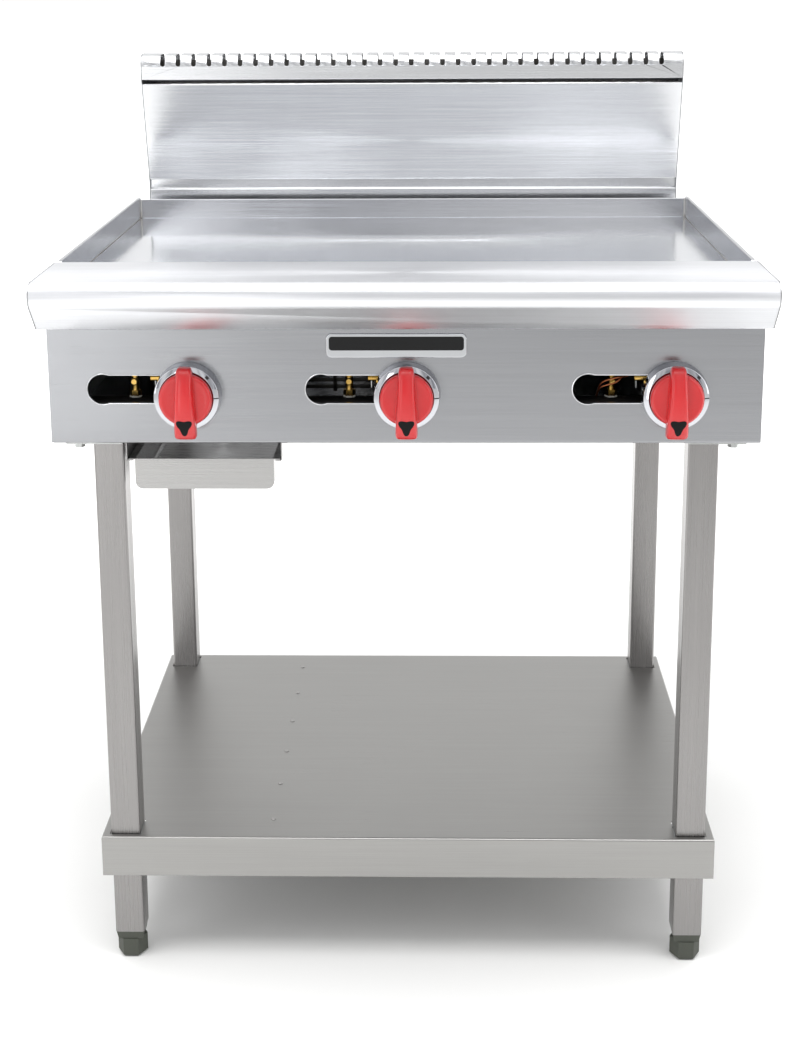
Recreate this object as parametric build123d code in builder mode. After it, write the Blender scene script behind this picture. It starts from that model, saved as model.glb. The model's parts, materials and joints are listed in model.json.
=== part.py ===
"""Gas griddle on an open stand: an assembly of separate named pieces, in millimetres.

+Z is up, the controls face -Y and the gas connection points along +Y.  The origin is the
centre of the footprint at floor level.
"""
import os
from math import radians, sin, tan

from build123d import *

# ---------------------------------------------------------------- driving dimensions
width = 914.0               # across the body and the bullnose ledge
body_depth = 780.0          # front of the control panel to the rear panel
nose_reach = 94.0           # bullnose in front of the control panel
inlet_reach = 30.0          # gas connection behind the rear panel
body_bottom = 752.0         # underside of the body above the floor
body_height = 172.0         # body bottom to the underside of the griddle plate
plate_thick = 20.0
guard_height = 34.0         # splash guards above the cooking surface
overall_height = 1213.0     # floor to the top of the flue cap

sheet = 1.5                 # body, flue and shelf sheet
guard_thick = 5.0
guard_corner = 10.0
rear_guard_drop = 3.0       # rear splash below the side guards
trough_thick = 2.0
flange = 20.0               # folded edges of the body sheets
side_flange = 12.0          # flange that carries the griddle plate
bend = 1.5                  # inside radius of the folds
touch_gap = 0.3             # between pieces of different bodies that face each other
running_fit = 0.05          # radial, shafts in bores
tuck = 0.2                  # between neighbouring sheets of one body

# vents
floor_vent_long = 60.0
floor_vent_wide = 8.0
floor_vent_pitch = 40.0
floor_vent_rows = 130.0     # between the two rows
floor_vent_back = 165.0     # rear row in front of the rear panel
rear_vent_long = 80.0
rear_vent_wide = 7.0
rear_vent_pitch = 110.0
rear_vent_rows = 22.0
rear_vent_rise = 70.0

# ledge
ledge_drop = 62.0           # height of the bullnose
nose_radius = 18.0
ledge_back = 70.0           # rear edge of the ledge behind the control panel face
ledge_lip = 48.0

# trough, chute and plate
trough_gap = 2.0
trough_width = 88.0
trough_depth = 28.0         # below the underside of the plate
trough_front_rise = 46.0    # front wall above the underside of the plate
plate_lap = 4.0             # plate over the rear wall of the trough
chute_wide = 50.0
chute_deep = 56.0
chute_hole_gap = 4.0        # hole in the bottom pan around the chute
chute_back = 4.0            # chute centre behind the middle of the trough
chute_gap = 7.0             # chute to the left-hand air shutter

# flue
flue_depth = 50.0
flue_gap = 30.0             # plate to flue
flue_inset = 17.0           # each side of the flue inside the body width
flue_foot = 31.0            # folded rail above plate level up to the first strip
strip_height = 14.0
strip_recess = 6.0
flue_bend_height = 60.0     # plate level to the foot of the leaning panel
flue_lean = 43.0
cap_height = 41.0
cap_gap = 7.0
cap_slots = 33
cap_slot_width = 7.5
cap_slot_drop = 20.0
cap_end_margin = 36.0
cap_front_round = 18.0
cap_back_round = 6.0
cap_forward = 2.0           # cap ahead of the leaning panel
cap_lap = 12.0              # rear sheet inside the cap
panel_hem = 10.0

# controls
knob_height = 65.0          # knob axis above the body bottom
knob_shifts = (27.0, 3.0, 40.0)   # knob axes to the right of their burner zones
bezel_radius = 43.5
bezel_depth = 22.0
bezel_gap = 1.0             # turning bezel to the control panel
bezel_taper = 6.5
bezel_wall = 3.0
disc_radius = 34.0
disc_thick = 11.7
grip_up = 43.0
grip_down = 51.0
grip_up_width = 20.0
grip_down_width = 31.0
grip_rise = 50.0            # top of the grip in front of the control panel
grip_clear = 2.0            # overhanging ends of the grip to the bezel
grip_arch = 15.0            # fall of the grip towards its ends
grip_crown = 14.0
stem_radius = 4.0
port_offset = 110.0         # round end of a lighting port to the left of its knob
port_rise = 7.0             # port centre line above the knob axis
port_radius = 20.5
port_slot = 38.0
port_lip = 8.0
port_land = 25.0            # panel between the slot end and the knob axis
stem_hole_gap = 4.0
badge_wide = 179.0
badge_high = 31.0
badge_thick = 3.0
badge_drop = 19.0           # badge top below the underside of the ledge
badge_shift = -10.0
badge_corner = 7.0
inlay_high = 18.0
inlay_edge = 3.5
inlay_corner = 4.0
inlay_thick = 0.6

# gas parts
pipe_radius = 13.35         # 3/4 inch pipe
pipe_bore = 10.45
manifold_behind = 48.0      # manifold axis behind the control panel face
manifold_rise = 38.0        # manifold axis above the body bottom
supply_inset = 36.0
manifold_gap = 6.0          # manifold cap to the side panel
cap_long = 18.0
fitting_wall = 3.0
fitting_step = 0.8          # step between the elbow's barrels
collar_length = 12.0        # elbow's rear collar
coupling_length = 42.0
burner_radius = 19.0        # header of each burner
burner_leg_radius = 18.0
mixer_radius = 17.0
tube_wall = 1.5
burner_spread = 62.0        # burner legs each side of the middle of their zone
header_behind = 208.0
burner_short = 60.0         # burner ends ahead of the rear edge of the plate
burner_ports = 22
burner_port_half = 7.0
burner_port_wide = 2.5
shutter_length = 20.0
shutter_window = 11.0
shutter_window_half = 7.0
shutter_window_start = 4.0
shutter_nose = 8.0          # radius of the hole around the orifice
support_width = 25.0
support_front = 50.0        # behind the burner header
support_back = 45.0         # ahead of the burner ends
support_clear = 8.0         # support to the supply pipe
valve_radius = 12.0
valve_length = 33.0
valve_neck = 7.0
valve_nut = 17.0
valve_nut_long = 6.0
stem_inside = 12.0
stem_short = 2.0            # stem end behind the face of the knob
orifice_reach = 22.0        # valve to the mixing tube
orifice_across = 12.7
orifice_hex = 10.0
orifice_nose = 4.5
pilot_offset = 76.0
pilot_radius = 5.0
pilot_head = 6.0
pilot_nut = 14.0
pilot_cap = 11.0
pilot_tube = 2.4
pilot_rise = 20.0           # pilot valve top above the knob axis
pilot_run_rise = 45.0       # pilot tubes above the knob axis
pilot_bend = 8.0
pilot_behind = 9.0          # pilot burner behind the burner header

# stand
leg_size = 40.0
leg_wall = 1.5
leg_inset = 50.0            # outer faces of the legs inside the body side
leg_top_plate = 4.0
leg_plate_long = 100.0
leg_plate_edge = 8.0        # plate beyond the leg, towards the end of the body
leg_plate_out = 34.0        # plate beyond the leg, towards the side of the body
bolt_edge = 15.0
bolt_across = 13.0
bolt_head = 5.5
shelf_overhang = 12.0
shelf_front = 8.0           # shelf front behind the control panel face
shelf_depth = 640.0
shelf_height = 190.0
shelf_flange = 58.0
shelf_margin = 10.0         # shelf edge to the legs, front and rear
notch_gap = 1.5
rivet_count = 6
rivet_radius = 3.5
rivet_rise = 1.0
stiffener_x = -187.0        # middle of the hat-shaped stiffener
stiffener_half = 20.0
stiffener_brim = 20.0
stiffener_drop = 25.0
bracket_arm = 30.0
bracket_half = 18.0
foot_height = 28.0
foot_collar = 12.0
foot_across = 36.0
foot_stem = 6.0
foot_plug = 30.0
foot_taper = 12.0           # degrees, sides of the collar
foot_chamfer = 3.0

# grease pan
pan_wide = 182.0
pan_high = 41.0
pan_long = 400.0
pan_setback = 15.0
rail_leg_gap = 3.0          # pan rail to the front left leg
pan_corner = 10.0
chute_clear = 8.0           # end of the chute above the rim of the pan
pan_rim = 8.0
rail_gap = 3.0
pan_sheet = 1.2
rail_lip = 9.0
pan_drop = 25.0             # rim of the pan below the body bottom

# ---------------------------------------------------------------- derived positions
half = width / 2
y_nose = -(nose_reach + body_depth + inlet_reach) / 2
y_panel = y_nose + nose_reach
y_back = y_panel + body_depth
y_inlet = y_back + inlet_reach
plate_bottom = body_bottom + body_height
plate_top = plate_bottom + plate_thick
guard_top = plate_top + guard_height
ledge_top = guard_top
ledge_bottom = ledge_top - ledge_drop
y_trough = y_panel + ledge_back + trough_gap
y_plate = y_trough + trough_width - plate_lap
y_flue = y_back - flue_depth
y_plate_back = y_flue - flue_gap
knob_z = body_bottom + knob_height
zone_x = [-width / 3, 0.0, width / 3]
knob_x = [zone + shift for zone, shift in zip(zone_x, knob_shifts)]
y_manifold = y_panel + manifold_behind
manifold_z = body_bottom + manifold_rise
supply_x = half - supply_inset
flue_half = half - flue_inset
floor_top = body_bottom + 2 * sheet
leg_x = half - leg_inset - leg_size / 2
y_shelf = y_panel + shelf_front
y_leg_front = y_shelf + shelf_margin + leg_size / 2
y_leg_back = y_shelf + shelf_depth - shelf_margin - leg_size / 2
leg_bottom = foot_height + foot_collar
leg_top = body_bottom - leg_top_plate
leg_spots = {
    "front_left": (-leg_x, y_leg_front),
    "front_right": (leg_x, y_leg_front),
    "rear_left": (-leg_x, y_leg_back),
    "rear_right": (leg_x, y_leg_back),
}
places = ("left", "centre", "right")
chute_x = knob_x[0] + mixer_radius + sheet + chute_gap + chute_wide / 2
chute_y = y_trough + trough_width / 2 + chute_back
pan_x = leg_size / 2 - leg_x + rail_leg_gap + rail_gap + pan_rim + pan_wide / 2
y_pan = y_panel + pan_setback
pan_top = body_bottom - pan_drop


# ---------------------------------------------------------------- helpers
def at_x(x):
    """Plane square to X; sketch axes are Y and Z."""
    return Plane.YZ.offset(x)


def at_y(y):
    """Plane square to Y; sketch axes are X and Z, and a solid grows towards -Y."""
    return Plane.XZ.offset(-y)


def at_z(z):
    """Plane square to Z; sketch axes are X and Y."""
    return Plane.XY.offset(z)


def block(x0, x1, y0, y1, z0, z1, mode=Mode.ADD):
    """Rectangular solid between two corners."""
    with BuildSketch(at_z(z0)) as face:
        with Locations(((x0 + x1) / 2, (y0 + y1) / 2)):
            Rectangle(x1 - x0, y1 - y0)
    extrude(face.sketch, amount=z1 - z0, mode=mode)


def disc(plane, centre, radius):
    """Round face on a plane."""
    with BuildSketch(plane) as face:
        with Locations(centre):
            Circle(radius)
    return face.sketch


def rod_x(y, z, radius, x0, x1, mode=Mode.ADD):
    """Round bar along X."""
    extrude(disc(at_x(x0), (y, z), radius), amount=x1 - x0, mode=mode)


def rod_y(x, z, radius, y0, y1, mode=Mode.ADD):
    """Round bar along Y."""
    extrude(disc(at_y(y1), (x, z), radius), amount=y1 - y0, mode=mode)


def rod_z(x, y, radius, z0, z1, mode=Mode.ADD):
    """Round bar along Z."""
    extrude(disc(at_z(z0), (x, y), radius), amount=z1 - z0, mode=mode)


def hexagon(plane, centre, across):
    """Hexagon face, its width across flats given."""
    with BuildSketch(plane) as face:
        with Locations(centre):
            RegularPolygon(across / 2, 6, major_radius=False)
    return face.sketch


def outline(plane, points, radii=None):
    """Face through the corner points; each corner is rounded by its own radius."""
    count = len(points)
    radii = radii or [0.0] * count
    corners = [Vector(*point) for point in points]
    ends = []
    for index, corner in enumerate(corners):
        radius = radii[index]
        if radius <= 0:
            ends.append((corner, None, corner))
            continue
        before = (corners[index - 1] - corner).normalized()
        after = (corners[(index + 1) % count] - corner).normalized()
        half_angle = radians(before.get_angle(after) / 2)
        reach = radius / tan(half_angle)
        middle = corner + (before + after).normalized() * (radius / sin(half_angle))
        crest = middle + (corner - middle).normalized() * radius
        ends.append((corner + before * reach, crest, corner + after * reach))
    with BuildSketch(plane) as face:
        with BuildLine():
            for index in range(count):
                start, crest, stop = ends[index]
                if crest is not None:
                    ThreePointArc(start, crest, stop)
                following = ends[(index + 1) % count][0]
                if (following - stop).length > 1e-6:
                    Line(stop, following)
        make_face()
    return face.sketch


def fold(points, thickness, inside=bend, special=None):
    """Corners and radii of a folded sheet to the left of the path, right if negative."""
    path = [Vector(*point) for point in points]
    special = special or {}
    near_radii = [0.0]
    far = []
    far_radii = [0.0]
    for index, point in enumerate(path):
        normals = []
        if index > 0:
            step = (point - path[index - 1]).normalized()
            normals.append(Vector(-step.Y, step.X))
        if index < len(path) - 1:
            step = (path[index + 1] - point).normalized()
            normals.append(Vector(-step.Y, step.X))
        if len(normals) == 1:
            far.append(point + normals[0] * thickness)
            continue
        first, second = normals
        far.append(point + (first + second) * (thickness / (1 + first.dot(second))))
        left_turn = first.X * second.Y - first.Y * second.X > 0
        wraps_far = left_turn == (thickness > 0)
        small = special.get(index, inside)
        large = small + abs(thickness)
        near_radii.append(large if wraps_far else small)
        far_radii.append(small if wraps_far else large)
    near_radii.append(0.0)
    far_radii.append(0.0)
    corners = [(p.X, p.Y) for p in path] + [(p.X, p.Y) for p in reversed(far)]
    return corners, near_radii + list(reversed(far_radii))


def save(builder, name):
    """Label a finished piece and write its STEP file."""
    builder.part.label = name
    export_step(builder.part, f"parts/{name}.step")


os.makedirs("parts", exist_ok=True)

# ---------------------------------------------------------------- stand: legs and feet
for name, (x, y) in leg_spots.items():
    with BuildPart() as leg:
        outer = leg_size / 2
        inner = outer - leg_wall
        with BuildSketch(at_z(leg_bottom)):
            with Locations((x, y)):
                RectangleRounded(leg_size, leg_size, 2 * leg_wall)
                RectangleRounded(2 * inner, 2 * inner, leg_wall, mode=Mode.SUBTRACT)
        extrude(amount=leg_top - leg_bottom)
    save(leg, f"leg_{name}")

    with BuildPart() as foot:
        face = hexagon(at_z(0), (x, y), foot_across)
        extrude(face, amount=foot_height - touch_gap)
        chamfer(foot.edges().group_by(Axis.Z)[0], length=foot_chamfer)
        rod_z(x, y, foot_stem, foot_height - touch_gap, leg_bottom + foot_plug - foot_chamfer)
    save(foot, f"foot_{name}")

with BuildPart() as foot_sockets:
    plug = leg_size / 2 - leg_wall - tuck / 2
    for x, y in leg_spots.values():
        with BuildSketch(at_z(leg_bottom)) as insert:
            with Locations((x, y)):
                RectangleRounded(2 * plug, 2 * plug, 2.0)
        extrude(insert.sketch, amount=foot_plug)
        with BuildSketch(at_z(leg_bottom)) as collar:
            with Locations((x, y)):
                RectangleRounded(leg_size - 1.0, leg_size - 1.0, 2.0)
        extrude(collar.sketch, amount=-foot_collar, taper=foot_taper)
    for x, y in leg_spots.values():
        bore = foot_stem + running_fit
        rod_z(x, y, bore, 0, leg_bottom + foot_plug + 1.0, mode=Mode.SUBTRACT)
save(foot_sockets, "foot_sockets")

# ---------------------------------------------------------------- stand: shelf
shelf_half = half - leg_inset + shelf_overhang
y_shelf_back = y_shelf + shelf_depth
with BuildPart() as shelf:
    block(-shelf_half, shelf_half, y_shelf, y_shelf_back, shelf_height - shelf_flange, shelf_height)
    fillet(shelf.edges().group_by(Axis.Z)[-1], radius=2 * sheet)
    block(-shelf_half + sheet, shelf_half - sheet, y_shelf + sheet, y_shelf_back - sheet,
          shelf_height - shelf_flange - 1.0, shelf_height - sheet, mode=Mode.SUBTRACT)
    hole = leg_size / 2 + notch_gap
    for x, y in leg_spots.values():
        block(x - hole, x + hole, y - hole, y + hole, shelf_height - 2 * sheet,
              shelf_height + 1.0, mode=Mode.SUBTRACT)
save(shelf, "shelf")

with BuildPart() as shelf_stiffener:
    top = shelf_height - sheet
    brim = stiffener_half + stiffener_brim
    low = top - stiffener_drop
    path = [(-brim, low), (-stiffener_half, low), (-stiffener_half, top),
            (stiffener_half, top), (stiffener_half, low), (brim, low)]
    corners, radii = fold([(stiffener_x + u, v) for u, v in path], -sheet)
    face = outline(at_y(y_shelf_back - 4.0), corners, radii)
    extrude(face, amount=shelf_depth - 8.0)
save(shelf_stiffener, "shelf_stiffener")

with BuildPart() as shelf_rivets:
    for index in range(rivet_count):
        y = y_shelf + shelf_depth * (index + 0.5) / rivet_count
        rod_z(stiffener_x, y, rivet_radius, shelf_height, shelf_height + rivet_rise)
    fillet(shelf_rivets.edges().group_by(Axis.Z)[-1], radius=0.8 * rivet_rise)
save(shelf_rivets, "shelf_rivets")

with BuildPart() as shelf_brackets:
    for x, y in leg_spots.values():
        side = 1 if x > 0 else -1
        inner_x = x - side * leg_size / 2
        near, far = sorted((inner_x, inner_x - side * 2 * sheet))
        block(near, far, y - bracket_half, y + bracket_half,
              shelf_height - sheet - bracket_arm, shelf_height - sheet)
        near, far = sorted((inner_x - side * 2 * sheet, inner_x - side * bracket_arm))
        block(near, far, y - bracket_half, y + bracket_half,
              shelf_height - 3 * sheet, shelf_height - sheet)
save(shelf_brackets, "shelf_brackets")

# ---------------------------------------------------------------- stand: leg plates
plate_out = leg_x + leg_size / 2 + leg_plate_out
plate_in = leg_x - leg_size / 2
bolt_spots = []
with BuildPart() as leg_plates:
    for x, y in leg_spots.values():
        side = 1 if x > 0 else -1
        ahead = -1 if y < 0 else 1
        y_edge = y + ahead * (leg_size / 2 + leg_plate_edge)
        near_x, far_x = sorted((side * plate_in, side * plate_out))
        near_y, far_y = sorted((y_edge, y_edge - ahead * leg_plate_long))
        block(near_x, far_x, near_y, far_y, leg_top, body_bottom)
        inner_reach = leg_plate_long - bolt_edge
        for reach in (bolt_edge, inner_reach):
            bolt_spots.append((side * (plate_out - bolt_edge), y_edge - ahead * reach))
        bolt_spots.append((side * (plate_in + bolt_edge), y_edge - ahead * inner_reach))
save(leg_plates, "leg_plates")

with BuildPart() as leg_bolts:
    for x, y in bolt_spots:
        rod_z(x, y, bolt_across * 0.7, leg_top - sheet, leg_top)
        extrude(hexagon(at_z(leg_top - sheet - bolt_head), (x, y), bolt_across),
                amount=bolt_head)
save(leg_bolts, "leg_bolts")

# ---------------------------------------------------------------- body sheets
with BuildPart() as bottom_pan:
    rim = half - sheet - bend - tuck
    block(-rim, rim, y_panel + sheet + bend + tuck, y_back - sheet - tuck, body_bottom + sheet,
          floor_top)
    hole_wide = chute_wide / 2 + chute_hole_gap
    hole_deep = chute_deep / 2 + chute_hole_gap
    block(chute_x - hole_wide, chute_x + hole_wide, chute_y - hole_deep, chute_y + hole_deep,
          body_bottom, floor_top + 1.0, mode=Mode.SUBTRACT)
    for row in range(2):
        y = y_back - floor_vent_back - floor_vent_rows * row
        for column in range(-7, 8):
            with BuildSketch(at_z(body_bottom)) as slot:
                with Locations((column * floor_vent_pitch, y)):
                    SlotOverall(floor_vent_long, floor_vent_wide, rotation=90)
            extrude(slot.sketch, amount=4 * sheet, mode=Mode.SUBTRACT)
save(bottom_pan, "bottom_pan")

for name, side in (("left", -1), ("right", 1)):
    with BuildPart() as side_panel:
        path = [(half - flange, body_bottom), (half, body_bottom), (half, plate_bottom),
                (half - side_flange, plate_bottom)]
        corners, radii = fold(path, sheet)
        face = outline(at_y(y_back - sheet), [(side * u, v) for u, v in corners], radii)
        extrude(face, amount=body_depth - 2 * sheet)
    save(side_panel, f"side_panel_{name}")

rear_vent_z = body_bottom + rear_vent_rise
with BuildPart() as rear_panel:
    block(-half, half, y_back - sheet, y_back, body_bottom, plate_bottom)
    rod_y(supply_x, manifold_z, pipe_radius + 2.0, y_back - 2 * sheet, y_back + sheet,
          mode=Mode.SUBTRACT)
    for row in range(3):
        for column in range(-2, 3):
            with BuildSketch(at_y(y_back + sheet)) as slot:
                with Locations((column * rear_vent_pitch, rear_vent_z + row * rear_vent_rows)):
                    SlotOverall(rear_vent_long, rear_vent_wide)
            extrude(slot.sketch, amount=3 * sheet, mode=Mode.SUBTRACT)
save(rear_panel, "rear_panel")


def keyhole(plane, x, grow):
    """Lighting port outline: a round end with a slot running to behind the knob."""
    port_z = knob_z + port_rise
    with BuildSketch(plane) as face:
        with Locations((x - port_offset, port_z)):
            Circle(port_radius + grow)
        length = port_offset - port_land + grow
        with Locations((x - port_offset + length / 2, port_z)):
            Rectangle(length, port_slot + 2 * grow)
    return face.sketch


panel_top = ledge_bottom - sheet
with BuildPart() as front_panel:
    path = [(y_panel + flange, body_bottom), (y_panel, body_bottom), (y_panel, panel_top),
            (y_panel + flange, panel_top)]
    corners, radii = fold(path, -sheet)
    face = outline(at_x(-half), corners, radii)
    extrude(face, amount=width)
    for near, far in ((-half, -half + flange + tuck), (half - flange - tuck, half)):
        block(near, far, y_panel + sheet, y_panel + 2 * flange, body_bottom, panel_top,
              mode=Mode.SUBTRACT)
    for x in knob_x:
        extrude(keyhole(at_y(y_panel + port_lip), x, sheet), amount=port_lip - sheet)
    for x in knob_x:
        extrude(keyhole(at_y(y_panel + port_lip + 1.0), x, 0.0), amount=port_lip + 2.0,
                mode=Mode.SUBTRACT)
        rod_y(x, knob_z, stem_radius + stem_hole_gap, y_panel - 1.0, y_panel + 2 * sheet,
              mode=Mode.SUBTRACT)
save(front_panel, "front_panel")

# ---------------------------------------------------------------- bullnose ledge
nose_corner = y_panel - nose_reach + nose_radius - nose_radius / tan(radians(22.5))
under_edge = nose_corner + ledge_drop
with BuildPart() as front_ledge:
    path = [(y_panel + flange, ledge_bottom - sheet), (under_edge, ledge_bottom - sheet),
            (nose_corner, ledge_top), (y_panel + ledge_back, ledge_top),
            (y_panel + ledge_back, ledge_top - ledge_lip)]
    corners, radii = fold(path, -sheet, special={2: nose_radius - sheet, 1: 2.0})
    face = outline(at_x(-half + sheet), corners, radii)
    extrude(face, amount=width - 2 * sheet)
save(front_ledge, "front_ledge")

with BuildPart() as ledge_ends:
    points = [(y_panel, ledge_bottom - sheet), (under_edge, ledge_bottom - sheet),
              (nose_corner, ledge_top), (y_panel + ledge_back, ledge_top),
              (y_panel + ledge_back, plate_bottom), (y_panel, plate_bottom)]
    for x in (-half, half - sheet):
        face = outline(at_x(x), points, [0, 3.5, nose_radius, 3.0, 0, 0])
        extrude(face, amount=sheet)
save(ledge_ends, "ledge_ends")

# ---------------------------------------------------------------- griddle plate and guards
plate_half = half - 2.0
with BuildPart() as griddle_plate:
    block(-plate_half, plate_half, y_plate, y_plate_back, plate_bottom, plate_top)
    front_edge = griddle_plate.edges().filter_by(Axis.X).group_by(Axis.Y)[0].sort_by(Axis.Z)[-1]
    chamfer(front_edge, length=2.0)
save(griddle_plate, "griddle_plate")

guard_out = plate_half
guard_in = guard_out - guard_thick
y_guard = y_trough + trough_thick + tuck
with BuildPart() as splash_sides:
    points = [(y_guard, plate_bottom), (y_plate - tuck, plate_bottom),
              (y_plate - tuck, plate_top), (y_plate_back, plate_top),
              (y_plate_back, guard_top), (y_guard, guard_top)]
    for x in (-guard_out, guard_in):
        face = outline(at_x(x), points, [0, 0, 0, 0, 3.0, guard_corner])
        extrude(face, amount=guard_thick)
save(splash_sides, "splash_sides")

with BuildPart() as splash_rear:
    block(-guard_in, guard_in, y_plate_back - guard_thick, y_plate_back, plate_top,
          guard_top - rear_guard_drop)
save(splash_rear, "splash_rear")

trough_half = half - side_flange - 4.0
trough_floor = plate_bottom - trough_depth
y_trough_back = y_trough + trough_width + trough_thick
chute_x0 = chute_x - chute_wide / 2
chute_x1 = chute_x + chute_wide / 2
chute_y0 = chute_y - chute_deep / 2
chute_y1 = chute_y + chute_deep / 2
with BuildPart() as grease_trough:
    block(-trough_half, trough_half, y_trough, y_trough_back, trough_floor, plate_bottom)
    block(-trough_half, trough_half, y_trough, y_trough + trough_thick, plate_bottom,
          plate_bottom + trough_front_rise)
    for side in (-1, 1):
        near, far = sorted((side * (trough_half - trough_thick), side * (guard_in - tuck)))
        block(near, far, y_trough, y_plate - tuck, plate_bottom, plate_bottom + trough_thick)
    block(-trough_half + trough_thick, trough_half - trough_thick, y_trough + trough_thick,
          y_trough_back - trough_thick, trough_floor + trough_thick, plate_bottom + 1.0,
          mode=Mode.SUBTRACT)
    block(chute_x0 + trough_thick, chute_x1 - trough_thick, chute_y0 + trough_thick,
          chute_y1 - trough_thick, trough_floor - 1.0, trough_floor + 3.0, mode=Mode.SUBTRACT)
save(grease_trough, "grease_trough")

chute_end = pan_top + chute_clear
with BuildPart() as grease_chute:
    block(chute_x0, chute_x1, chute_y0, chute_y1, chute_end, trough_floor)
    block(chute_x0 + trough_thick, chute_x1 - trough_thick, chute_y0 + trough_thick,
          chute_y1 - trough_thick, chute_end - 1.0, trough_floor + 1.0, mode=Mode.SUBTRACT)
save(grease_chute, "grease_chute")

# ---------------------------------------------------------------- burners
y_mixer = y_manifold + valve_length / 2 + orifice_reach
y_window = y_mixer + shutter_window_start
y_header = y_panel + header_behind
y_burner_end = y_plate_back - burner_short
for name, zone, x in zip(places, zone_x, knob_x):
    with BuildPart() as burner:
        rod_x(y_header, knob_z, burner_radius, zone - burner_spread - burner_radius,
              zone + burner_spread + burner_radius)
        for side in (-1, 1):
            rod_y(zone + side * burner_spread, knob_z, burner_leg_radius, y_header, y_burner_end)
        rod_y(x, knob_z, mixer_radius, y_mixer, y_header)
        rod_x(y_header, knob_z, burner_radius - tube_wall, zone - burner_spread - burner_radius
              + tube_wall, zone + burner_spread + burner_radius - tube_wall, mode=Mode.SUBTRACT)
        for side in (-1, 1):
            rod_y(zone + side * burner_spread, knob_z, burner_leg_radius - tube_wall, y_header,
                  y_burner_end - tube_wall, mode=Mode.SUBTRACT)
            port_step = (y_burner_end - y_header - 3 * burner_radius) / burner_ports
            leg = zone + side * burner_spread
            for index in range(burner_ports):
                y = y_header + 2 * burner_radius + port_step * index
                block(leg - burner_port_half, leg + burner_port_half, y, y + burner_port_wide,
                      knob_z + burner_radius / 2, knob_z + burner_radius + 1.0,
                      mode=Mode.SUBTRACT)
        rod_y(x, knob_z, mixer_radius - tube_wall, y_mixer - 1.0, y_header, mode=Mode.SUBTRACT)
        block(x - mixer_radius - 1.0, x + mixer_radius + 1.0, y_window,
              y_window + shutter_window, knob_z - shutter_window_half,
              knob_z + shutter_window_half, mode=Mode.SUBTRACT)
    save(burner, f"burner_{name}")

    with BuildPart() as air_shutter:
        sleeve = mixer_radius + running_fit
        y_sleeve = y_mixer - tuck
        rod_y(x, knob_z, sleeve + sheet, y_sleeve - sheet, y_sleeve + shutter_length)
        rod_y(x, knob_z, sleeve, y_sleeve, y_sleeve + shutter_length + 1.0, mode=Mode.SUBTRACT)
        rod_y(x, knob_z, shutter_nose, y_sleeve - 2 * sheet, y_sleeve + 1.0,
              mode=Mode.SUBTRACT)
        block(x - sleeve - 2 * sheet, x + sleeve + 2 * sheet, y_window,
              y_window + shutter_window, knob_z - shutter_window_half,
              knob_z + shutter_window_half, mode=Mode.SUBTRACT)
    save(air_shutter, f"air_shutter_{name}")

support_half = supply_x - pipe_radius - support_clear
with BuildPart() as burner_supports:
    support_top = knob_z - burner_leg_radius
    for y in (y_header + support_front, y_burner_end - support_back):
        path = [(-support_half, floor_top), (-support_half, support_top),
                (support_half, support_top), (support_half, floor_top)]
        corners, radii = fold(path, -2 * sheet)
        face = outline(at_y(y + support_width), corners, radii)
        extrude(face, amount=support_width)
save(burner_supports, "burner_supports")

# ---------------------------------------------------------------- gas manifold and valves
manifold_end = half - sheet - manifold_gap
with BuildPart() as manifold:
    rod_x(y_manifold, manifold_z, pipe_radius, -manifold_end,
          supply_x - pipe_radius - fitting_wall)
    rod_x(y_manifold, manifold_z, pipe_radius + fitting_wall, -manifold_end,
          -manifold_end + cap_long)
    rod_x(y_manifold, manifold_z, pipe_bore, -manifold_end + 5.0, supply_x, mode=Mode.SUBTRACT)
save(manifold, "manifold")

with BuildPart() as gas_inlet_pipe:
    elbow = pipe_radius + fitting_wall
    knuckle = elbow - fitting_step
    collar = knuckle - fitting_step
    rod_x(y_manifold, manifold_z, elbow, supply_x - elbow, supply_x)
    extrude(disc(at_z(manifold_z), (supply_x, y_manifold), knuckle), amount=collar - fitting_step,
            both=True)
    rod_y(supply_x, manifold_z, collar, y_manifold, y_manifold + elbow + collar_length)
    rod_y(supply_x, manifold_z, pipe_radius, y_manifold, y_inlet)
    rod_y(supply_x, manifold_z, elbow, y_back - coupling_length, y_back - 2 * sheet)
    rod_y(supply_x, manifold_z, pipe_bore, y_manifold, y_inlet + 1.0, mode=Mode.SUBTRACT)
    rod_x(y_manifold, manifold_z, pipe_bore - fitting_step, supply_x - 2 * elbow, supply_x,
          mode=Mode.SUBTRACT)
save(gas_inlet_pipe, "gas_inlet_pipe")

y_valve = y_manifold - valve_length / 2
y_valve_back = y_manifold + valve_length / 2
for name, x in zip(places, knob_x):
    with BuildPart() as valve_body:
        rod_y(x, knob_z, valve_radius, y_valve, y_valve_back)
        rod_z(x, y_manifold, valve_neck, manifold_z, knob_z)
        extrude(hexagon(at_y(y_valve), (x, knob_z), valve_nut), amount=valve_nut_long)
        rod_x(y_manifold, manifold_z, pipe_radius, x - 20.0, x + 20.0, mode=Mode.SUBTRACT)
        rod_y(x, knob_z, stem_radius + running_fit, y_valve - 8.0, y_valve + stem_inside,
              mode=Mode.SUBTRACT)
    save(valve_body, f"valve_body_{name}")

    with BuildPart() as valve_stem:
        rod_y(x, knob_z, stem_radius, y_panel - bezel_depth - disc_thick + stem_short,
              y_valve + stem_inside - touch_gap)
    save(valve_stem, f"valve_stem_{name}")

with BuildPart() as orifices:
    for x in knob_x:
        extrude(hexagon(at_y(y_valve_back + orifice_hex), (x, knob_z), orifice_across),
                amount=orifice_hex)
        rod_y(x, knob_z, orifice_nose, y_valve_back + orifice_hex, y_mixer + 3.0)
        rod_y(x, knob_z, 1.0, y_valve_back + 1.0, y_mixer + 4.0, mode=Mode.SUBTRACT)
save(orifices, "orifices")

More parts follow.
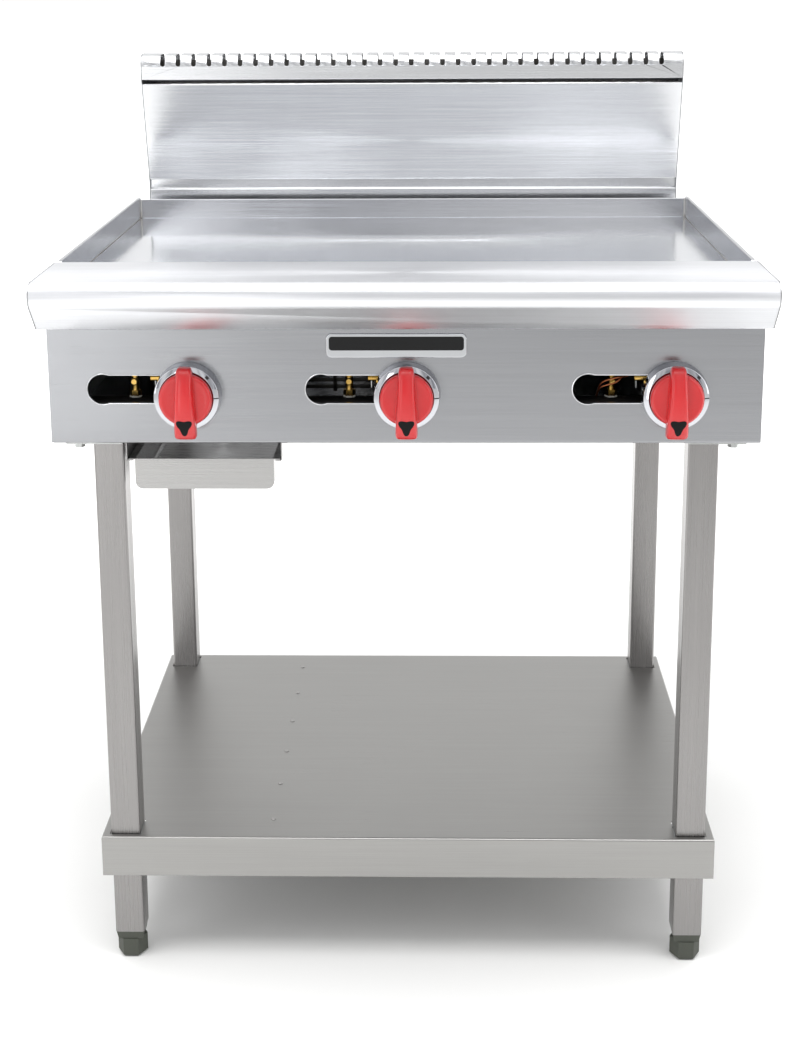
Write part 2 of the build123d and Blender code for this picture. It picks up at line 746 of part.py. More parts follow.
pilot_x = [x - pilot_offset for x in knob_x]
pilot_top = knob_z + pilot_rise
with BuildPart() as pilot_valves:
    for x in pilot_x:
        rod_z(x, y_manifold, pilot_radius, manifold_z, pilot_top)
        extrude(hexagon(at_z(manifold_z + pipe_radius + 1.0), (x, y_manifold), pilot_nut),
                amount=8.0)
        rod_y(x, knob_z + 8.0, 3.5, y_manifold - 12.0, y_manifold)
        rod_x(y_manifold, manifold_z, pipe_radius, x - 20.0, x + 20.0, mode=Mode.SUBTRACT)
        extrude(hexagon(at_z(pilot_top - 6.0), (x, y_manifold), pilot_cap), amount=6.0)
save(pilot_valves, "pilot_valves")

pilot_y = y_header + burner_radius + pilot_behind
pilot_run = knob_z + pilot_run_rise
with BuildPart() as pilot_tubes:
    for x, zone in zip(pilot_x, zone_x):
        with BuildLine() as route:
            FilletPolyline((x, y_manifold, pilot_top), (x, y_manifold, pilot_run),
                           (x, y_header - 10.0, pilot_run), (zone, y_header - 10.0, pilot_run),
                           (zone, pilot_y - 4.0, pilot_run), radius=pilot_bend)
        ring = disc(at_z(pilot_top), (x, y_manifold), pilot_tube)
        sweep(ring, path=route.line)
save(pilot_tubes, "pilot_tubes")

with BuildPart() as pilot_burners:
    for zone in zone_x:
        rod_z(zone, pilot_y, pilot_head, knob_z + burner_radius, pilot_run + 2 * pilot_head)
        block(zone - 1.5 * pilot_head, zone + 1.5 * pilot_head, y_header, pilot_y + pilot_head,
              knob_z + burner_radius, knob_z + burner_radius + sheet)
        rod_y(zone, pilot_run, pilot_tube, y_header, pilot_y - 4.0, mode=Mode.SUBTRACT)
save(pilot_burners, "pilot_burners")

# ---------------------------------------------------------------- knobs and bezels
for name, x in zip(places, knob_x):
    with BuildPart() as bezel:
        extrude(disc(at_y(y_panel - bezel_gap), (x, knob_z), bezel_radius),
                amount=bezel_depth - bezel_gap, taper=bezel_taper)
        rod_y(x, knob_z, bezel_radius - 3 * bezel_wall, y_panel - bezel_depth + bezel_wall,
              y_panel + 1.0, mode=Mode.SUBTRACT)
        rod_y(x, knob_z, stem_radius + 6.0, y_panel - bezel_depth - 1.0, y_panel + 1.0,
              mode=Mode.SUBTRACT)
        rim = bezel.edges().filter_by(GeomType.CIRCLE).group_by(Axis.Y)[0].sort_by(SortBy.RADIUS)
        fillet(rim[-1], radius=1.5)
    save(bezel, f"bezel_{name}")

    with BuildPart() as knob:
        y_disc = y_panel - bezel_depth
        y_grip = y_panel - grip_rise
        up = grip_up_width / 2
        down = grip_down_width / 2
        top = knob_z + grip_up
        low = knob_z - grip_down
        points = [(x - up, top), (x - down, low), (x + down, low), (x + up, top)]
        corner = grip_up_width * 0.3
        face = outline(at_y(y_disc - grip_clear), points, [corner] * 4)
        extrude(face, amount=grip_rise - bezel_depth - grip_clear)
        points = [(y_disc, top), (y_grip + grip_arch, top), (y_grip, knob_z + grip_crown),
                  (y_grip, knob_z - grip_crown), (y_grip + grip_arch, low), (y_disc, low)]
        face = outline(at_x(x - bezel_radius), points, [0, 6.0, 24.0, 24.0, 6.0, 0])
        extrude(face, amount=2 * bezel_radius, mode=Mode.INTERSECT)
        rod_y(x, knob_z, disc_radius, y_disc - disc_thick, y_disc)
        rod_y(x, knob_z, stem_radius + 6.0, y_disc, y_disc + 10.0)
        rod_y(x, knob_z, stem_radius, y_disc - disc_thick + stem_short, y_disc + 11.0,
              mode=Mode.SUBTRACT)
    save(knob, f"knob_{name}")

badge_top = ledge_bottom - badge_drop
with BuildPart() as badge_frame:
    with BuildSketch(at_y(y_panel)) as face:
        with Locations((badge_shift, badge_top - badge_high / 2)):
            RectangleRounded(badge_wide, badge_high, badge_corner)
    extrude(face.sketch, amount=badge_thick)
    fillet(badge_frame.edges().group_by(Axis.Y)[0], radius=1.2)
    inlay_z = badge_top - inlay_edge - inlay_high / 2
    inlay_wide = badge_wide - 2 * inlay_edge
    with BuildSketch(at_y(y_panel - badge_thick + 1.0)) as face:
        with Locations((badge_shift, inlay_z)):
            RectangleRounded(inlay_wide, inlay_high, inlay_corner)
    extrude(face.sketch, amount=2.0, mode=Mode.SUBTRACT)
save(badge_frame, "badge_frame")

with BuildPart() as badge_inlay:
    with BuildSketch(at_y(y_panel - badge_thick + 1.0)) as face:
        with Locations((badge_shift, inlay_z)):
            RectangleRounded(inlay_wide - tuck, inlay_high - tuck, inlay_corner)
    extrude(face.sketch, amount=inlay_thick)
save(badge_inlay, "badge_inlay")

# ---------------------------------------------------------------- flue
strip_a = plate_top + flue_foot + strip_height
strip_b = plate_top + flue_bend_height
cap_foot = overall_height - cap_height
lean_top = cap_foot - cap_gap
flue_span = flue_half - sheet
with BuildPart() as flue_front:
    path = [(y_plate_back + tuck, plate_top - 1.0), (y_flue, plate_top - 1.0), (y_flue, strip_a),
            (y_flue + strip_recess, strip_a), (y_flue + strip_recess, strip_b),
            (y_flue, strip_b), (y_flue - flue_lean, lean_top),
            (y_flue - flue_lean + panel_hem, lean_top + 2.0)]
    corners, radii = fold(path, -sheet, inside=0.8)
    face = outline(at_x(-flue_span), corners, radii)
    extrude(face, amount=2 * flue_span)
save(flue_front, "flue_front")

with BuildPart() as flue_back:
    path = [(y_back, plate_bottom), (y_back, strip_b), (y_back - flue_lean, lean_top),
            (y_back - flue_lean, cap_foot + cap_lap)]
    corners, radii = fold(path, sheet)
    face = outline(at_x(-flue_span), corners, radii)
    extrude(face, amount=2 * flue_span)
save(flue_back, "flue_back")

cap_front_y = y_flue - flue_lean - cap_forward
cap_back_y = y_back - flue_lean + sheet
with BuildPart() as flue_cap:
    path = [(cap_front_y, cap_foot), (cap_front_y, overall_height), (cap_back_y, overall_height),
            (cap_back_y, lean_top + cap_gap / 2)]
    corners, radii = fold(path, -sheet, special={1: cap_front_round, 2: cap_back_round})
    face = outline(at_x(-flue_span), corners, radii)
    extrude(face, amount=2 * flue_span)
    slot_pitch = (2 * flue_half - 2 * cap_end_margin) / (cap_slots - 1)
    with BuildSketch(at_y(cap_back_y + sheet)) as slots:
        for index in range(cap_slots):
            x = -flue_half + cap_end_margin + index * slot_pitch
            with Locations((x, overall_height)):
                SlotOverall(2 * cap_slot_drop, cap_slot_width, rotation=90)
    extrude(slots.sketch, amount=cap_back_y - cap_front_y + 2 * sheet, mode=Mode.SUBTRACT)
save(flue_cap, "flue_cap")

with BuildPart() as flue_sides:
    for side in (-1, 1):
        points = [(y_flue, plate_bottom), (y_flue, strip_b), (y_flue - flue_lean, lean_top),
                  (cap_front_y, cap_foot), (cap_front_y, overall_height),
                  (cap_back_y, overall_height), (cap_back_y, lean_top), (y_back, strip_b),
                  (y_back, plate_bottom)]
        near, far = sorted((side * flue_span, side * flue_half))
        radii = [0, 0, 0, 0, cap_front_round + sheet, cap_back_round + sheet, 0, 0, 0]
        face = outline(at_x(near), points, radii)
        extrude(face, amount=far - near)
        near, far = sorted((side * flue_half, side * half))
        block(near, far, y_plate_back + tuck, y_back, plate_bottom, plate_bottom + sheet)
        near, far = sorted((side * flue_span, side * flue_half))
        block(near, far, y_plate_back + tuck, y_flue, plate_bottom, plate_top)
save(flue_sides, "flue_sides")

# ---------------------------------------------------------------- grease pan and rails
pan_x0 = pan_x - pan_wide / 2
pan_x1 = pan_x + pan_wide / 2
y_pan_back = y_pan + pan_long
with BuildPart() as grease_pan:
    block(pan_x0, pan_x1, y_pan, y_pan_back, pan_top - pan_high, pan_top)
    fillet(grease_pan.edges().filter_by(Axis.Y).group_by(Axis.Z)[0], radius=pan_corner)
    block(pan_x0 - pan_rim, pan_x1 + pan_rim, y_pan, y_pan_back, pan_top - pan_sheet, pan_top)
    inside_low = pan_top - pan_high + pan_sheet
    inside_corner = pan_corner - pan_sheet
    block(pan_x0 + pan_sheet, pan_x1 - pan_sheet, y_pan + pan_sheet, y_pan_back - pan_sheet,
          inside_low + pan_corner, pan_top + 1.0, mode=Mode.SUBTRACT)
    with BuildSketch(at_y(y_pan_back - pan_sheet)) as face:
        with Locations((pan_x, inside_low + pan_corner)):
            RectangleRounded(pan_wide - 2 * pan_sheet, 2 * pan_corner, inside_corner)
    extrude(face.sketch, amount=pan_long - 2 * pan_sheet, mode=Mode.SUBTRACT)
save(grease_pan, "grease_pan")

lip_top = pan_top - pan_sheet - touch_gap
with BuildPart() as pan_rails:
    for side in (-1, 1):
        wall = pan_x + side * (pan_wide / 2 + pan_rim + rail_gap)
        path = [(wall - side * rail_lip, body_bottom), (wall, body_bottom),
                (wall, lip_top - sheet), (wall - side * rail_lip, lip_top - sheet)]
        corners, radii = fold(path, -sheet * side)
        face = outline(at_y(y_pan_back + 10.0), corners, radii)
        extrude(face, amount=pan_long + 10.0)
save(pan_rails, "pan_rails")
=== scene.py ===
"""Gas griddle on an open stand: finishes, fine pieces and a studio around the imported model.

Laid out as an add-on whose operators are called in order by main().
"""
import json
from math import cos, pi, radians, sin

import bpy
import numpy as np
from bpy.props import FloatProperty, FloatVectorProperty, PointerProperty
from mathutils import Matrix, Vector


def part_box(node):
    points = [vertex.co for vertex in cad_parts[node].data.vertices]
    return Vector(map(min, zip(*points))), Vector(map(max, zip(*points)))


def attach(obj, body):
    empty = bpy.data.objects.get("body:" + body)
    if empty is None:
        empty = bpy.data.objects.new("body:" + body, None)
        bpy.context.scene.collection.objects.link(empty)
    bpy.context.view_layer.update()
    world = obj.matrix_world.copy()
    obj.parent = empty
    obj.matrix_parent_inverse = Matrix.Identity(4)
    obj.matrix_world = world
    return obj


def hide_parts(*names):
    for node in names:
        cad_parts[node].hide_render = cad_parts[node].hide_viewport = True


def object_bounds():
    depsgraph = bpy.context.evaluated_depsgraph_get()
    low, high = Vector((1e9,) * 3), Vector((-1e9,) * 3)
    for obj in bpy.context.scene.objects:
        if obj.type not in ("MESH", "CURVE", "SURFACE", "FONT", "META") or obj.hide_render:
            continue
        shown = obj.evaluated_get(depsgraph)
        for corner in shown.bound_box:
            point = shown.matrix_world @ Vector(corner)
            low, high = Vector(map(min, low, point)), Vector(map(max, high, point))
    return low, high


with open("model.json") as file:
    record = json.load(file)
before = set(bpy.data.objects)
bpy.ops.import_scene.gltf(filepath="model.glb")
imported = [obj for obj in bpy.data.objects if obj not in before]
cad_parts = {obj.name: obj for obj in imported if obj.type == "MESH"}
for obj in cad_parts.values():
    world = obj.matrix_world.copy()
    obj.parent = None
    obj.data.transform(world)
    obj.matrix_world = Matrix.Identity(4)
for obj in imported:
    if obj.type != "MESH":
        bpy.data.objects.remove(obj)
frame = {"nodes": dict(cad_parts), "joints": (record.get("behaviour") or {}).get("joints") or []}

bl_info = {
    "name": "Gas griddle",
    "version": (1, 0, 0),
    "blender": (4, 5, 0),
    "location": "View3D > Sidebar > Griddle",
    "description": "Finishes and fine pieces of a gas griddle on an open stand",
    "category": "Object",
}

CAD_LOW, CAD_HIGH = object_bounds()
NODES = frame["nodes"]
JOINTS = {joint["name"]: joint for joint in frame["joints"]}
PLACES = ("left", "centre", "right")
MM = 0.001


# ------------------------------------------------------------------ colour and node helpers
def linear(hex_colour):
    """sRGB hex to linear RGBA: x/12.92 below 0.04045, else ((x + 0.055)/1.055) ** 2.4."""
    parts = [int(hex_colour[i:i + 2], 16) / 255 for i in (1, 3, 5)]
    parts = [x / 12.92 if x <= 0.04045 else ((x + 0.055) / 1.055) ** 2.4 for x in parts]
    return (*parts, 1.0)


def shade(colour, factor):
    """A linear colour made lighter or darker."""
    return (*[min(1.0, c * factor) for c in colour[:3]], 1.0)


def add(tree, kind, links=None, **settings):
    """Add a node; settings are its attributes or, with a socket's name, its input values."""
    node = tree.nodes.new(kind)
    for key, value in settings.items():
        if hasattr(node, key):
            setattr(node, key, value)
        else:
            node.inputs[key.replace("_", " ")].default_value = value
    for key, source in (links or {}).items():
        tree.links.new(source, node.inputs[key])
    return node


def material(name):
    """An empty node material with a Principled shader, and its tree and shader."""
    made = bpy.data.materials.new(name)
    made.use_nodes = True
    tree = made.node_tree
    return made, tree, tree.nodes["Principled BSDF"]


def ramp(tree, source, low, high, out_low, out_high):
    """Map a value from one range to another, clamped."""
    node = add(tree, "ShaderNodeMapRange", {0: source})
    for index, value in enumerate((low, high, out_low, out_high), start=1):
        node.inputs[index].default_value = value
    return node.outputs[0]


# ------------------------------------------------------------------ finishes
def stretched_noise(tree, along, grain, length, detail=2.0):
    """Noise whose cells are grain wide and length long along one axis, sizes in metres."""
    place = add(tree, "ShaderNodeTexCoord").outputs["Object"]
    scale = [1.0 / (length if axis == along else grain) for axis in "XYZ"]
    turn = add(tree, "ShaderNodeMapping", {"Vector": place})
    turn.inputs["Scale"].default_value = scale
    noise = add(tree, "ShaderNodeTexNoise", {"Vector": turn.outputs[0]}, Scale=1.0,
                Detail=detail, Roughness=0.6)
    return noise.outputs["Fac"]


def cloud(tree, size, detail=3.0):
    """Soft even noise with cells of one size in metres."""
    place = add(tree, "ShaderNodeTexCoord").outputs["Object"]
    noise = add(tree, "ShaderNodeTexNoise", {"Vector": place}, Scale=1.0 / size, Detail=detail,
                Roughness=0.55)
    return noise.outputs["Fac"]


def mix_colour(tree, factor, low, high):
    """Blend two colours by a value."""
    node = add(tree, "ShaderNodeMix", {0: factor}, data_type="RGBA")
    node.inputs[6].default_value = low
    node.inputs[7].default_value = high
    return node.outputs[2]


def weighted(tree, first, second, weight):
    """first + weight * second, with a constant weight."""
    node = add(tree, "ShaderNodeMath", {0: second, 2: first}, operation="MULTIPLY_ADD")
    node.inputs[1].default_value = weight
    return node.outputs[0]


def brushed_steel(name, colour, along="X", rough=0.26, spread=0.10, grain=0.9, bump=0.10,
                  tangent="Z", anisotropic=0.6, smudge=0.04):
    """Stainless sheet drawn through an abrasive belt: fine lines along one axis.

    Belt lines are about 0.1 mm; they are drawn 0.9 mm wide so that they show, 180 mm long.
    The eye gets soft highlights pulled out across the lines, and faint hazy patches from
    handling, which change the roughness only.
    """
    made, tree, shader = material(name)
    lines = stretched_noise(tree, along, grain * MM, 180 * MM, 3.0)
    broad = stretched_noise(tree, along, 7 * MM, 600 * MM, 2.0)
    haze = cloud(tree, 160 * MM)
    base = linear(colour)
    tone = weighted(tree, ramp(tree, lines, 0.3, 0.7, 0.0, 0.7), broad, 0.45)
    paint = mix_colour(tree, tone, shade(base, 0.90), shade(base, 1.05))
    tree.links.new(paint, shader.inputs["Base Color"])
    roughness = ramp(tree, lines, 0.25, 0.75, rough - spread / 2, rough + spread / 2)
    roughness = weighted(tree, roughness, ramp(tree, haze, 0.35, 0.7, 0.0, 1.0), smudge)
    tree.links.new(roughness, shader.inputs["Roughness"])
    relief = add(tree, "ShaderNodeBump", {"Height": lines}, Strength=bump, Distance=0.2 * MM)
    tree.links.new(relief.outputs[0], shader.inputs["Normal"])
    way = add(tree, "ShaderNodeTangent", direction_type="RADIAL", axis=tangent)
    tree.links.new(way.outputs[0], shader.inputs["Tangent"])
    shader.inputs["Metallic"].default_value = 1.0
    shader.inputs["Anisotropic"].default_value = anisotropic
    return made


def polished_plate(name, colour):
    """Griddle steel, ground and buffed with a swinging disc: overlapping faint arcs.

    The buffing lines are about 0.2 mm; they are drawn 1.6 to 2.2 mm apart so that
    they show.
    The eye gets an almost clear mirror with curved silky bands.
    """
    made, tree, shader = material(name)
    place = add(tree, "ShaderNodeTexCoord").outputs["Object"]
    bands = None
    for centre, spacing in (((-0.10, -0.75, 0.0), 1.6), ((0.30, 0.95, 0.0), 1.9),
                            ((-0.65, 0.35, 0.0), 2.2)):
        reach = add(tree, "ShaderNodeVectorMath", {0: place}, operation="DISTANCE")
        reach.inputs[1].default_value = (*centre[:2], CAD_LOW[2])
        rings = add(tree, "ShaderNodeTexNoise", {"W": reach.outputs["Value"]},
                    noise_dimensions="1D", Scale=1.0 / (spacing * MM), Detail=3.0, Roughness=0.7)
        area = cloud(tree, 220 * MM * spacing)
        gate = ramp(tree, area, 0.42, 0.62, 0.0, 1.0)
        one = add(tree, "ShaderNodeMath", {0: rings.outputs["Fac"], 1: gate},
                  operation="MULTIPLY").outputs[0]
        bands = one if bands is None else weighted(tree, bands, one, 1.0)
    base = linear(colour)
    paint = mix_colour(tree, ramp(tree, bands, 0.1, 1.1, 0.0, 1.0), shade(base, 0.94), base)
    tree.links.new(paint, shader.inputs["Base Color"])
    rough = ramp(tree, bands, 0.1, 1.1, 0.06, 0.19)
    tree.links.new(rough, shader.inputs["Roughness"])
    relief = add(tree, "ShaderNodeBump", {"Height": bands}, Strength=0.10, Distance=0.1 * MM)
    tree.links.new(relief.outputs[0], shader.inputs["Normal"])
    shader.inputs["Metallic"].default_value = 1.0
    return made


def plated(name, colour, rough, grain=0.0):
    """Polished plating: a clear mirror with very slight haze where it has been handled."""
    made, tree, shader = material(name)
    haze = cloud(tree, 25 * MM)
    tree.links.new(ramp(tree, haze, 0.3, 0.7, rough * 0.7, rough * 1.4),
                   shader.inputs["Roughness"])
    base = linear(colour)
    tree.links.new(mix_colour(tree, haze, shade(base, 0.95), base), shader.inputs["Base Color"])
    if grain:
        relief = add(tree, "ShaderNodeBump", {"Height": cloud(tree, grain * MM, 1.0)},
                     Strength=0.25, Distance=0.1 * MM)
        tree.links.new(relief.outputs[0], shader.inputs["Normal"])
    shader.inputs["Metallic"].default_value = 1.0
    return made


def moulded(name, colour, rough, grain, bump, coat=0.0, spread=0.08, gloss=0.5):
    """Moulded plastic: an even colour with the mould's fine texture in gloss and relief."""
    made, tree, shader = material(name)
    base = linear(colour)
    texture = cloud(tree, grain * MM, 2.0)
    wear = cloud(tree, 30 * MM)
    tree.links.new(mix_colour(tree, wear, shade(base, 0.90), shade(base, 1.08)),
                   shader.inputs["Base Color"])
    tree.links.new(ramp(tree, texture, 0.3, 0.7, rough - spread / 2, rough + spread / 2),
                   shader.inputs["Roughness"])
    relief = add(tree, "ShaderNodeBump", {"Height": texture}, Strength=bump, Distance=0.2 * MM)
    tree.links.new(relief.outputs[0], shader.inputs["Normal"])
    shader.inputs["Specular IOR Level"].default_value = gloss
    shader.inputs["Coat Weight"].default_value = coat
    shader.inputs["Coat Roughness"].default_value = 0.08
    return made


def mill_metal(name, colour, rough, metallic, grain, spread=0.16, *, stain):
    """Raw or coated metal straight from the mill: mottled, with darker stains."""
    made, tree, shader = material(name)
    base = linear(colour)
    spots = cloud(tree, grain * MM, 4.0)
    patches = cloud(tree, 40 * MM, 4.0)
    paint = mix_colour(tree, ramp(tree, patches, 0.4, 0.7, 0.0, 1.0), base, linear(stain))
    tree.links.new(paint, shader.inputs["Base Color"])
    tree.links.new(ramp(tree, spots, 0.3, 0.7, rough - spread / 2, rough + spread / 2),
                   shader.inputs["Roughness"])
    relief = add(tree, "ShaderNodeBump", {"Height": spots}, Strength=0.2, Distance=0.2 * MM)
    tree.links.new(relief.outputs[0], shader.inputs["Normal"])
    shader.inputs["Metallic"].default_value = metallic
    return made


def make_finishes():
    """Every finish of the griddle, by a maker's name."""
    made = {
        # same stainless as the ledge and flue, its base colour made darker: painted shade on the
        # panels
        "panel": brushed_steel("stainless_sheet_brushed_panel", "#A2A3A6", "X", 0.22, 0.08,
                               tangent="Z", anisotropic=0.75, bump=0.06),
        # same stainless as the panel, its base colour made much lighter: painted light on the
        # ledge
        "ledge": brushed_steel("stainless_sheet_brushed_ledge", "#E2E3E6", "X", 0.34, 0.08,
                               tangent="Z", anisotropic=0.5, bump=0.06),
        # same stainless as the panel, its base colour made much lighter: painted light on the flue
        "flue": brushed_steel("stainless_sheet_brushed_flue", "#E4E5E7", "X", 0.20, 0.08,
                              tangent="Z", anisotropic=0.7),
        "cap": brushed_steel("stainless_sheet_brushed_cap", "#D6D7D9", "X", 0.24, 0.09,
                             tangent="Z", anisotropic=0.5),
        # same stainless sheet, its base colour made darker: painted shade on the shelf
        "shelf": brushed_steel("stainless_sheet_brushed_shelf", "#A09F9D", "X", 0.30, 0.08,
                               tangent="Y", anisotropic=0.6, bump=0.08),
        "tube": brushed_steel("stainless_tube_belt_ground", "#939190", "Z", 0.27, 0.10,
                              tangent="X", anisotropic=0.55),
        "side": brushed_steel("stainless_sheet_brushed_side", "#A9AAAC", "Y", 0.28, 0.10,
                              tangent="Z", anisotropic=0.6),
        "guard": brushed_steel("steel_guard_ground_bright", "#BEBFC2", "Y", 0.19, 0.08,
                               tangent="Z", anisotropic=0.4, bump=0.05),
        "rear_guard": brushed_steel("steel_splash_ground_bright", "#CDCED1", "X", 0.19, 0.08,
                                    tangent="Z", anisotropic=0.4, bump=0.05),
        "pan": brushed_steel("stainless_pan_pressed", "#AEADAC", "X", 0.27, 0.08,
                             tangent="Z", anisotropic=0.5),
        "plate": polished_plate("griddle_steel_disc_buffed", "#E6E8EC"),
        "chrome": plated("chrome_plated_bezel", "#C9CACF", 0.07),
        "badge_chrome": plated("chrome_plated_badge_rim", "#CFD1D4", 0.10),
        # port edges: real turned edges of the panel, base colour much lighter than the panel:
        # painted highlight
        "rim": plated("stainless_edge_polished", "#E6E7E9", 0.16),
        "zinc": plated("zinc_plated_steel", "#B4B6B5", 0.30, grain=0.8),
        "stud": plated("stainless_spot_head", "#A9A8A6", 0.26, grain=0.8),
        "red": moulded("phenolic_moulded_red", "#C8141A", 0.30, 0.7, 0.05, coat=0.5),
        "black_mark": moulded("pad_printed_black_ink", "#0B0B0C", 0.42, 0.5, 0.03, gloss=0.15),
        "grey_mark": moulded("pad_printed_grey_ink", "#1C1C1E", 0.45, 0.5, 0.03),
        "badge_black": moulded("acrylic_gloss_black", "#08090B", 0.12, 1.0, 0.02, coat=0.1,
                               gloss=0.3),
        "foot": moulded("nylon_moulded_grey", "#454840", 0.62, 0.9, 0.35, spread=0.14),
        "aluminised": mill_metal("aluminised_steel_tube", "#8B8A86", 0.46, 1.0, 2.0,
                                 stain="#5E5A55"),
        "black_pipe": mill_metal("black_iron_pipe", "#19191B", 0.48, 0.35, 0.9,
                                 stain="#26231F"),
        "brass": mill_metal("brass_machined", "#D2AE62", 0.24, 1.0, 0.6, 0.10,
                            stain="#9A7430"),
        "copper": mill_metal("copper_tube_drawn", "#B9714C", 0.28, 1.0, 0.8, 0.10,
                             stain="#8A5137"),
        "sealant": moulded("pipe_sealant_white", "#D9D7CF", 0.7, 1.2, 0.5),
        # dark sheet seen through the flue cap's slots: painted shade in the hollow under the cap
        "liner": mill_metal("aluminised_liner_heat_tinted", "#6E6C69", 0.5, 0.6, 1.5,
                            stain="#4A4743"),
        "dark_steel": mill_metal("sheet_steel_dark_mill", "#3A3936", 0.45, 0.9, 1.5,
                                 stain="#22211F"),
        "weld": mill_metal("weld_bead_wire_brushed", "#A5A4A2", 0.30, 1.0, 0.8,
                           stain="#8C8780"),
    }
    return made


NODE_FINISH = {
    "front_panel": "panel", "front_ledge": "ledge", "ledge_ends": "side",
    "side_panel_left": "side", "side_panel_right": "side", "rear_panel": "panel",
    "bottom_pan": "panel", "griddle_plate": "plate", "splash_sides": "guard",
    "splash_rear": "rear_guard", "grease_trough": "pan", "grease_chute": "pan",
    "grease_pan": "pan", "pan_rails": "pan", "shelf": "shelf", "shelf_stiffener": "side",
    "shelf_rivets": "stud", "shelf_brackets": "zinc", "leg_plates": "zinc",
    "leg_bolts": "zinc", "foot_sockets": "foot", "flue_front": "flue", "flue_back": "panel",
    "flue_cap": "cap", "flue_sides": "side", "burner_supports": "aluminised",
    "manifold": "black_pipe", "gas_inlet_pipe": "black_pipe", "orifices": "brass",
    "pilot_valves": "brass", "pilot_tubes": "copper", "pilot_burners": "brass",
    "badge_frame": "badge_chrome", "badge_inlay": "badge_black",
}
for corner in ("front_left", "front_right", "rear_left", "rear_right"):
    NODE_FINISH["leg_" + corner] = "tube"
    NODE_FINISH["foot_" + corner] = "foot"
for place in PLACES:
    NODE_FINISH["burner_" + place] = "aluminised"
    NODE_FINISH["air_shutter_" + place] = "zinc"
    NODE_FINISH["valve_body_" + place] = "brass"
    NODE_FINISH["valve_stem_" + place] = "brass"
    NODE_FINISH["bezel_" + place] = "chrome"
    NODE_FINISH["knob_" + place] = "red"
FINISHES = {}


# ------------------------------------------------------------------ surfaces from arrays
def patch(points, close_rows=False, close_cols=False):
    """Triangles over a grid of points: cell corners (i, j), (i+1, j), (i+1, j+1), (i, j+1)."""
    rows, cols = points.shape[:2]
    index = np.arange(rows * cols).reshape(rows, cols)
    if close_rows:
        index = np.vstack([index, index[:1]])
    if close_cols:
        index = np.hstack([index, index[:, :1]])
    a, b, c, d = index[:-1, :-1], index[1:, :-1], index[1:, 1:], index[:-1, 1:]
    quads = np.stack([a, b, c, a, c, d], axis=-1).reshape(-1, 3)
    return points.reshape(-1, 3), quads


def build(name, parts, finish, body, sharp=35.0, closed=True):
    """One mesh piece from patches: corners within 0.001 mm are joined, faces point outwards.

    A closed shell whose signed volume, the sum of a . (b x c) / 6, is negative is turned.
    """
    corners, triangles, start = [], [], 0
    for points, faces in parts:
        if closed:
            p = points[faces]
            volume = np.einsum("ij,ij->i", p[:, 0], np.cross(p[:, 1], p[:, 2])).sum()
            if volume < 0:
                faces = faces[:, ::-1]
        corners.append(points)
        triangles.append(faces + start)
        start += len(points)
    points = np.concatenate(corners)
    faces = np.concatenate(triangles)
    _, first, inverse = np.unique(np.round(points * 1e6).astype(np.int64), axis=0,
                                  return_index=True, return_inverse=True)
    points = points[first]
    faces = inverse.reshape(-1)[faces]
    real = (faces[:, 0] != faces[:, 1]) & (faces[:, 1] != faces[:, 2]) & (
        faces[:, 2] != faces[:, 0])
    faces = faces[real]
    mesh = bpy.data.meshes.new(name)
    mesh.from_pydata(points, [], faces)
    mesh.update()
    mesh.shade_smooth()
    mesh.set_sharp_from_angle(angle=radians(sharp))
    mesh.materials.append(FINISHES[finish])
    made = bpy.data.objects.new(name, mesh)
    bpy.context.scene.collection.objects.link(made)
    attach(made, body)
    return made


def axes_for(direction):
    """Two unit vectors square to a direction."""
    direction = np.asarray(direction, float)
    helper = np.array([0.0, 0.0, 1.0]) if abs(direction[2]) < 0.9 else np.array([1.0, 0, 0])
    side = np.cross(direction, helper)
    side /= np.linalg.norm(side)
    return side, np.cross(direction, side)


def lathe(profile, centre, direction, turns=64):
    """Profile (radius, height) turned about an axis: c + h d + r (cos t s + sin t u)."""
    profile = np.asarray(profile, float)
    direction = np.asarray(direction, float) / np.linalg.norm(direction)
    side, up = axes_for(direction)
    angle = np.linspace(0, 2 * pi, turns, endpoint=False)[:, None, None]
    radius = profile[None, :, 0:1]
    height = profile[None, :, 1:2]
    points = (np.asarray(centre) + height * direction
              + radius * (np.cos(angle) * side + np.sin(angle) * up))
    return patch(points, close_rows=True)


def rounded(profile, radius, steps=5):
    """Profile with each inner corner replaced by an arc-like quadratic curve of given reach."""
    profile = np.asarray(profile, float)
    out = [profile[0]]
    for before, corner, after in zip(profile[:-2], profile[1:-1], profile[2:]):
        first, second = before - corner, after - corner
        reach = min(radius, 0.45 * np.linalg.norm(first), 0.45 * np.linalg.norm(second))
        a = corner + first / np.linalg.norm(first) * reach
        b = corner + second / np.linalg.norm(second) * reach
        t = np.linspace(0, 1, steps)[:, None]
        out.extend((1 - t) ** 2 * a + 2 * t * (1 - t) * corner + t ** 2 * b)
    out.append(profile[-1])
    return np.array(out)


def smooth_path(points, radius, steps=8):
    """Centre line in space with rounded corners."""
    return rounded(np.asarray(points, float), radius, steps)


def tube(points, radius, sides=16):
    """Round section carried along a path, its frame turned as little as the path allows."""
    points = np.asarray(points, float)
    way = np.gradient(points, axis=0)
    way /= np.linalg.norm(way, axis=1)[:, None]
    side, _ = axes_for(way[0])
    sides_list = []
    for tangent in way:
        side = side - tangent * side.dot(tangent)
        side /= np.linalg.norm(side)
        sides_list.append(side)
    side = np.array(sides_list)
    up = np.cross(way, side)
    angle = np.linspace(0, 2 * pi, sides, endpoint=False)
    ring = (np.cos(angle)[None, :, None] * side[:, None] + np.sin(angle)[None, :, None]
            * up[:, None])
    radius = np.broadcast_to(radius, len(points))
    body = points[:, None] + ring * radius[:, None, None]
    first = np.repeat(points[:1, None], sides, axis=1)
    last = np.repeat(points[-1:, None], sides, axis=1)
    return patch(np.concatenate([first, body, last]), close_cols=True)


